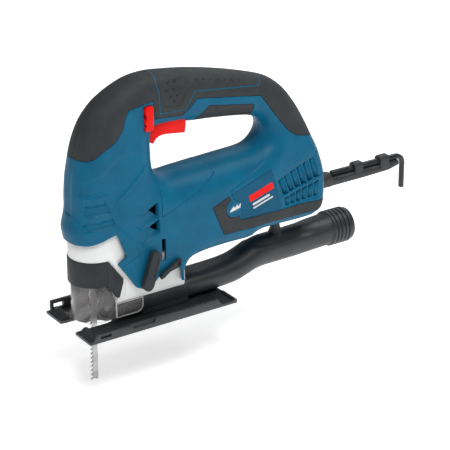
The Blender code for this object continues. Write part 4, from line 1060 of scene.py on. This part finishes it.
def sweep(name, stations, steps=64, shape=None):
    """Loft of round-cornered sections along x: (x, z centre, half width, half height, roundness)."""
    points = []
    for x, zc, half_w, half_h, power in stations:
        for i in range(steps):
            a = 2 * math.pi * i / steps
            c, s = math.cos(a), math.sin(a)
            k = (abs(c) ** power + abs(s) ** power) ** (-1 / power)
            y, z = half_w * k * c, zc + half_h * k * s
            points.append((x, *shape(x, y, z)) if shape else (x, y, z))
    return loft(name, points, steps, ends_last=True)


def tube_shape(x, y, z):
    """The tube's pinch: its upper rear part is narrower, with a crease along each side."""
    along = fade(x, 180, 16) * fade(x, 268, -12)
    crease = np.interp(x, [180, 188, 198, 212, 240], [40.5, 37.5, 34.4, 32.2, 33.4])
    above = fade(z, crease, 1.6)
    return y * (1 - 0.20 * along * above), z


def dust_tube():
    stations = between_stations(TUBE_STATIONS, 8)
    tube = sweep("dust_pipe", stations, 72, tube_shape)
    profile = [(286, 0), (286, 15.9)]
    x = 288.0
    for k in range(5):
        profile += [(x, 15.9), (x + 0.5, 17.3), (x + 2.7, 17.3), (x + 3.2, 15.9)]
        x += 4.5
    profile += [(x, 15.9), (312.6, 15.9), (312.6, 0)]
    mouth = turned_piece("mouth", profile, "x", (0, 0, 28.1), 72)
    post = turned_piece("post", [(36, 0), (36, 8.5), (38, 8), (41, 6.4), (44, 5.2), (47, 4.6), (53.2, 4.2),
                                 (53.2, 0)], "z", (228.5, 0, 0), 40)
    spigot = sweep("spigot", [(114.5, 12.9, 13.8, 7, 3), (121, 12.9, 13.8, 7, 3)])
    join(tube, mouth, post, spigot)
    inside = [(s[0], s[1], s[2] - 2.4, s[3] - 2.4, s[4]) for s in TUBE_STATIONS]
    inside[0] = (121.5, 12.9, 12, 5.2, 3)
    inside = [(110, 12.9, 12, 5.2, 3)] + inside[:-1] + [(287, 28, 13.4, 13.4, 2),
                                                            (330, 28.3, 13.4, 13.4, 2)]
    cut(tube, sweep("tube_bore", inside, 48))
    piece(tube, "dust_tube", BLACK, "dust_tube", edge=0.35, angle=40)


def hexagon(half_flats, y, z):
    corner = half_flats / math.cos(math.radians(30))
    return [(y + corner * math.cos(math.radians(60 * i)), z + corner * math.sin(math.radians(60 * i)))
            for i in range(6)]


def cord_sleeve():
    """The cord's bend relief, with a socket and two hooks on top that hold the hexagon key."""
    stations = [(262, 79.6, 9.6, 9.6, 2), (266.2, 79.6, 9.6, 9.6, 2), (266.4, 79.6, 7.2, 7.2, 2.2),
                (288, 79.6, 6.6, 7.4, 2.8), (291, 79.2, 6.3, 7.2, 2.8), (292, 77, 5.6, 4.6, 2.8),
                (330, 76.9, 5, 4.5, 2.8), (362, 77.2, 4.4, 4.2, 2.8), (374, 78.6, 3.8, 2.8, 2.8)]
    sleeve = sweep("cord_relief", stations, 40)
    for x0, x1 in ((319.5, 329), (350.5, 361)):
        arm = prism("key_hook", [(-5, 77), (5, 77), (5, 87), (2.9, 89.6), (-2.9, 89.6), (-5, 87)],
                    x0, x1, "x")
        join(sleeve, arm)
    cut(sleeve, prism("key_way", hexagon(2.5 + 0.45, 0, KEY_Z), 293.0, 390, "x"))
    cut(sleeve, rod("cord_bore", "x", (0, 0, 76.6), 2.3, 255, 390, 24))
    piece(sleeve, "tool", CORD_RUBBER, "cord_sleeve", edge=0.5)


def hex_key():
    bend = 8.8
    path = [(293.6, KEY_Z)] + arc(372.0, KEY_Z - bend, bend, 90, 0, 14) + [(380.8, 50.5)]
    points = []
    for k, (x, z) in enumerate(path):
        before = path[max(k - 1, 0)]
        after = path[min(k + 1, len(path) - 1)]
        length = math.hypot(after[0] - before[0], after[1] - before[1])
        nx, nz = -(after[1] - before[1]) / length, (after[0] - before[0]) / length
        points += [(x + nx * b, a, z + nz * b) for a, b in hexagon(2.5, 0, 0)]
    piece(loft("hexagon_key", points, 6), "hex_key", KEY_STEEL, "hex_key", edge=0.35)


# ---- pieces shown as packed

PACKED = [
    (STEEL, "plunger gear_wheel roller_pin armature_shaft front_bearing rear_bearing base_clamp_screw"),
    (STEEL, "housing_screw_1 housing_screw_2 housing_screw_3 housing_screw_4 housing_screw_5"),
    (STEEL, "housing_screw_6"), (COPPER, "commutator"), (BLACK, "fan switch_module"),
    (DARK_STEEL, "blade_clamp gear_shaft armature_core stator counterweight"),
    (BRONZE, "plunger_bushing_upper plunger_bushing_lower"),
    (BRASS, "brush_holder_left brush_holder_right"), (CARBON, "carbon_brush_left carbon_brush_right"),
]


def packed_pieces():
    for mat, nodes in PACKED:
        for node in nodes.split():
            finish(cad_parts[node], mat, 35)


# ---- floor, light and camera

# Area lights: (name, place, size, watts), all aimed at LIT_POINT.
LIGHTS = [
    ("key", (-0.45, -1.05, 1.9), (0.7, 0.7), 21.5),
    ("top", (0.72, -0.25, 1.5), (1.1, 0.8), 12.0),
    ("rear", (1.1, 0.9, 0.9), (0.8, 0.8), 3.0),
]
LIT_POINT = (0.07, 0.0, 0.10)


def area_light(name, place, size, watts):
    lamp = bpy.data.lights.new(name, "AREA")
    lamp.shape = "RECTANGLE"
    lamp.size, lamp.size_y = size
    lamp.energy = watts
    obj = bpy.data.objects.new(name, lamp)
    bpy.context.scene.collection.objects.link(obj)
    obj.location = place
    obj.rotation_mode = "QUATERNION"
    obj.rotation_quaternion = (Vector(LIT_POINT) - Vector(place)).to_track_quat("-Z", "Y")
    obj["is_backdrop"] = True


def studio():
    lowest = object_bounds()[0].z - 0.0005
    bpy.ops.mesh.primitive_plane_add(size=12, location=(0, 0, lowest))
    floor = bpy.context.object
    floor.name = "studio_floor"
    made, tree, shader = new_material("pale_floor")
    set_inputs(tree, shader, {
        "Base Color": ramp(tree, noise(tree, 0.8, 2.0), (0.90, 0.90, 0.90), (0.92, 0.92, 0.92)),
        "Roughness": 0.9, "Emission Color": (1.0, 1.0, 1.0, 1.0), "Emission Strength": 0.58,
    })
    floor.data.materials.append(made)
    floor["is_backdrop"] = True
    world = bpy.data.worlds.new("studio")
    bpy.context.scene.world = world
    world.use_nodes = True
    light = {"Color": (1.0, 1.0, 1.0, 1.0), "Strength": 0.22}
    set_inputs(world.node_tree, world.node_tree.nodes["Background"], light)
    for light in LIGHTS:
        area_light(*light)


def camera():
    lens = bpy.data.cameras.new("camera")
    lens.sensor_width = 36.0
    lens.lens = 169.12
    obj = bpy.data.objects.new("camera", lens)
    bpy.context.scene.collection.objects.link(obj)
    forward = Vector((0.5126, 0.7570, -0.4051)).normalized()
    right = forward.cross(Vector((0, 0, 1))).normalized()
    up = right.cross(forward)
    basis = Matrix((right, up, -forward)).transposed()
    obj.matrix_world = Matrix.Translation((-0.9196, -1.4943, 0.8605)) @ basis.to_4x4()
    lens.clip_start = 0.05
    lens.clip_end = 30.0
    bpy.context.scene.camera = obj


housing_pieces()
louvre_floors()
head_pieces()
blade_support()
saw_blade()
controls()
base_plate()
base_bracket()
dust_tube()
cord_sleeve()
hex_key()
packed_pieces()
studio()
camera()
bpy.context.scene.view_settings.view_transform = "Standard"
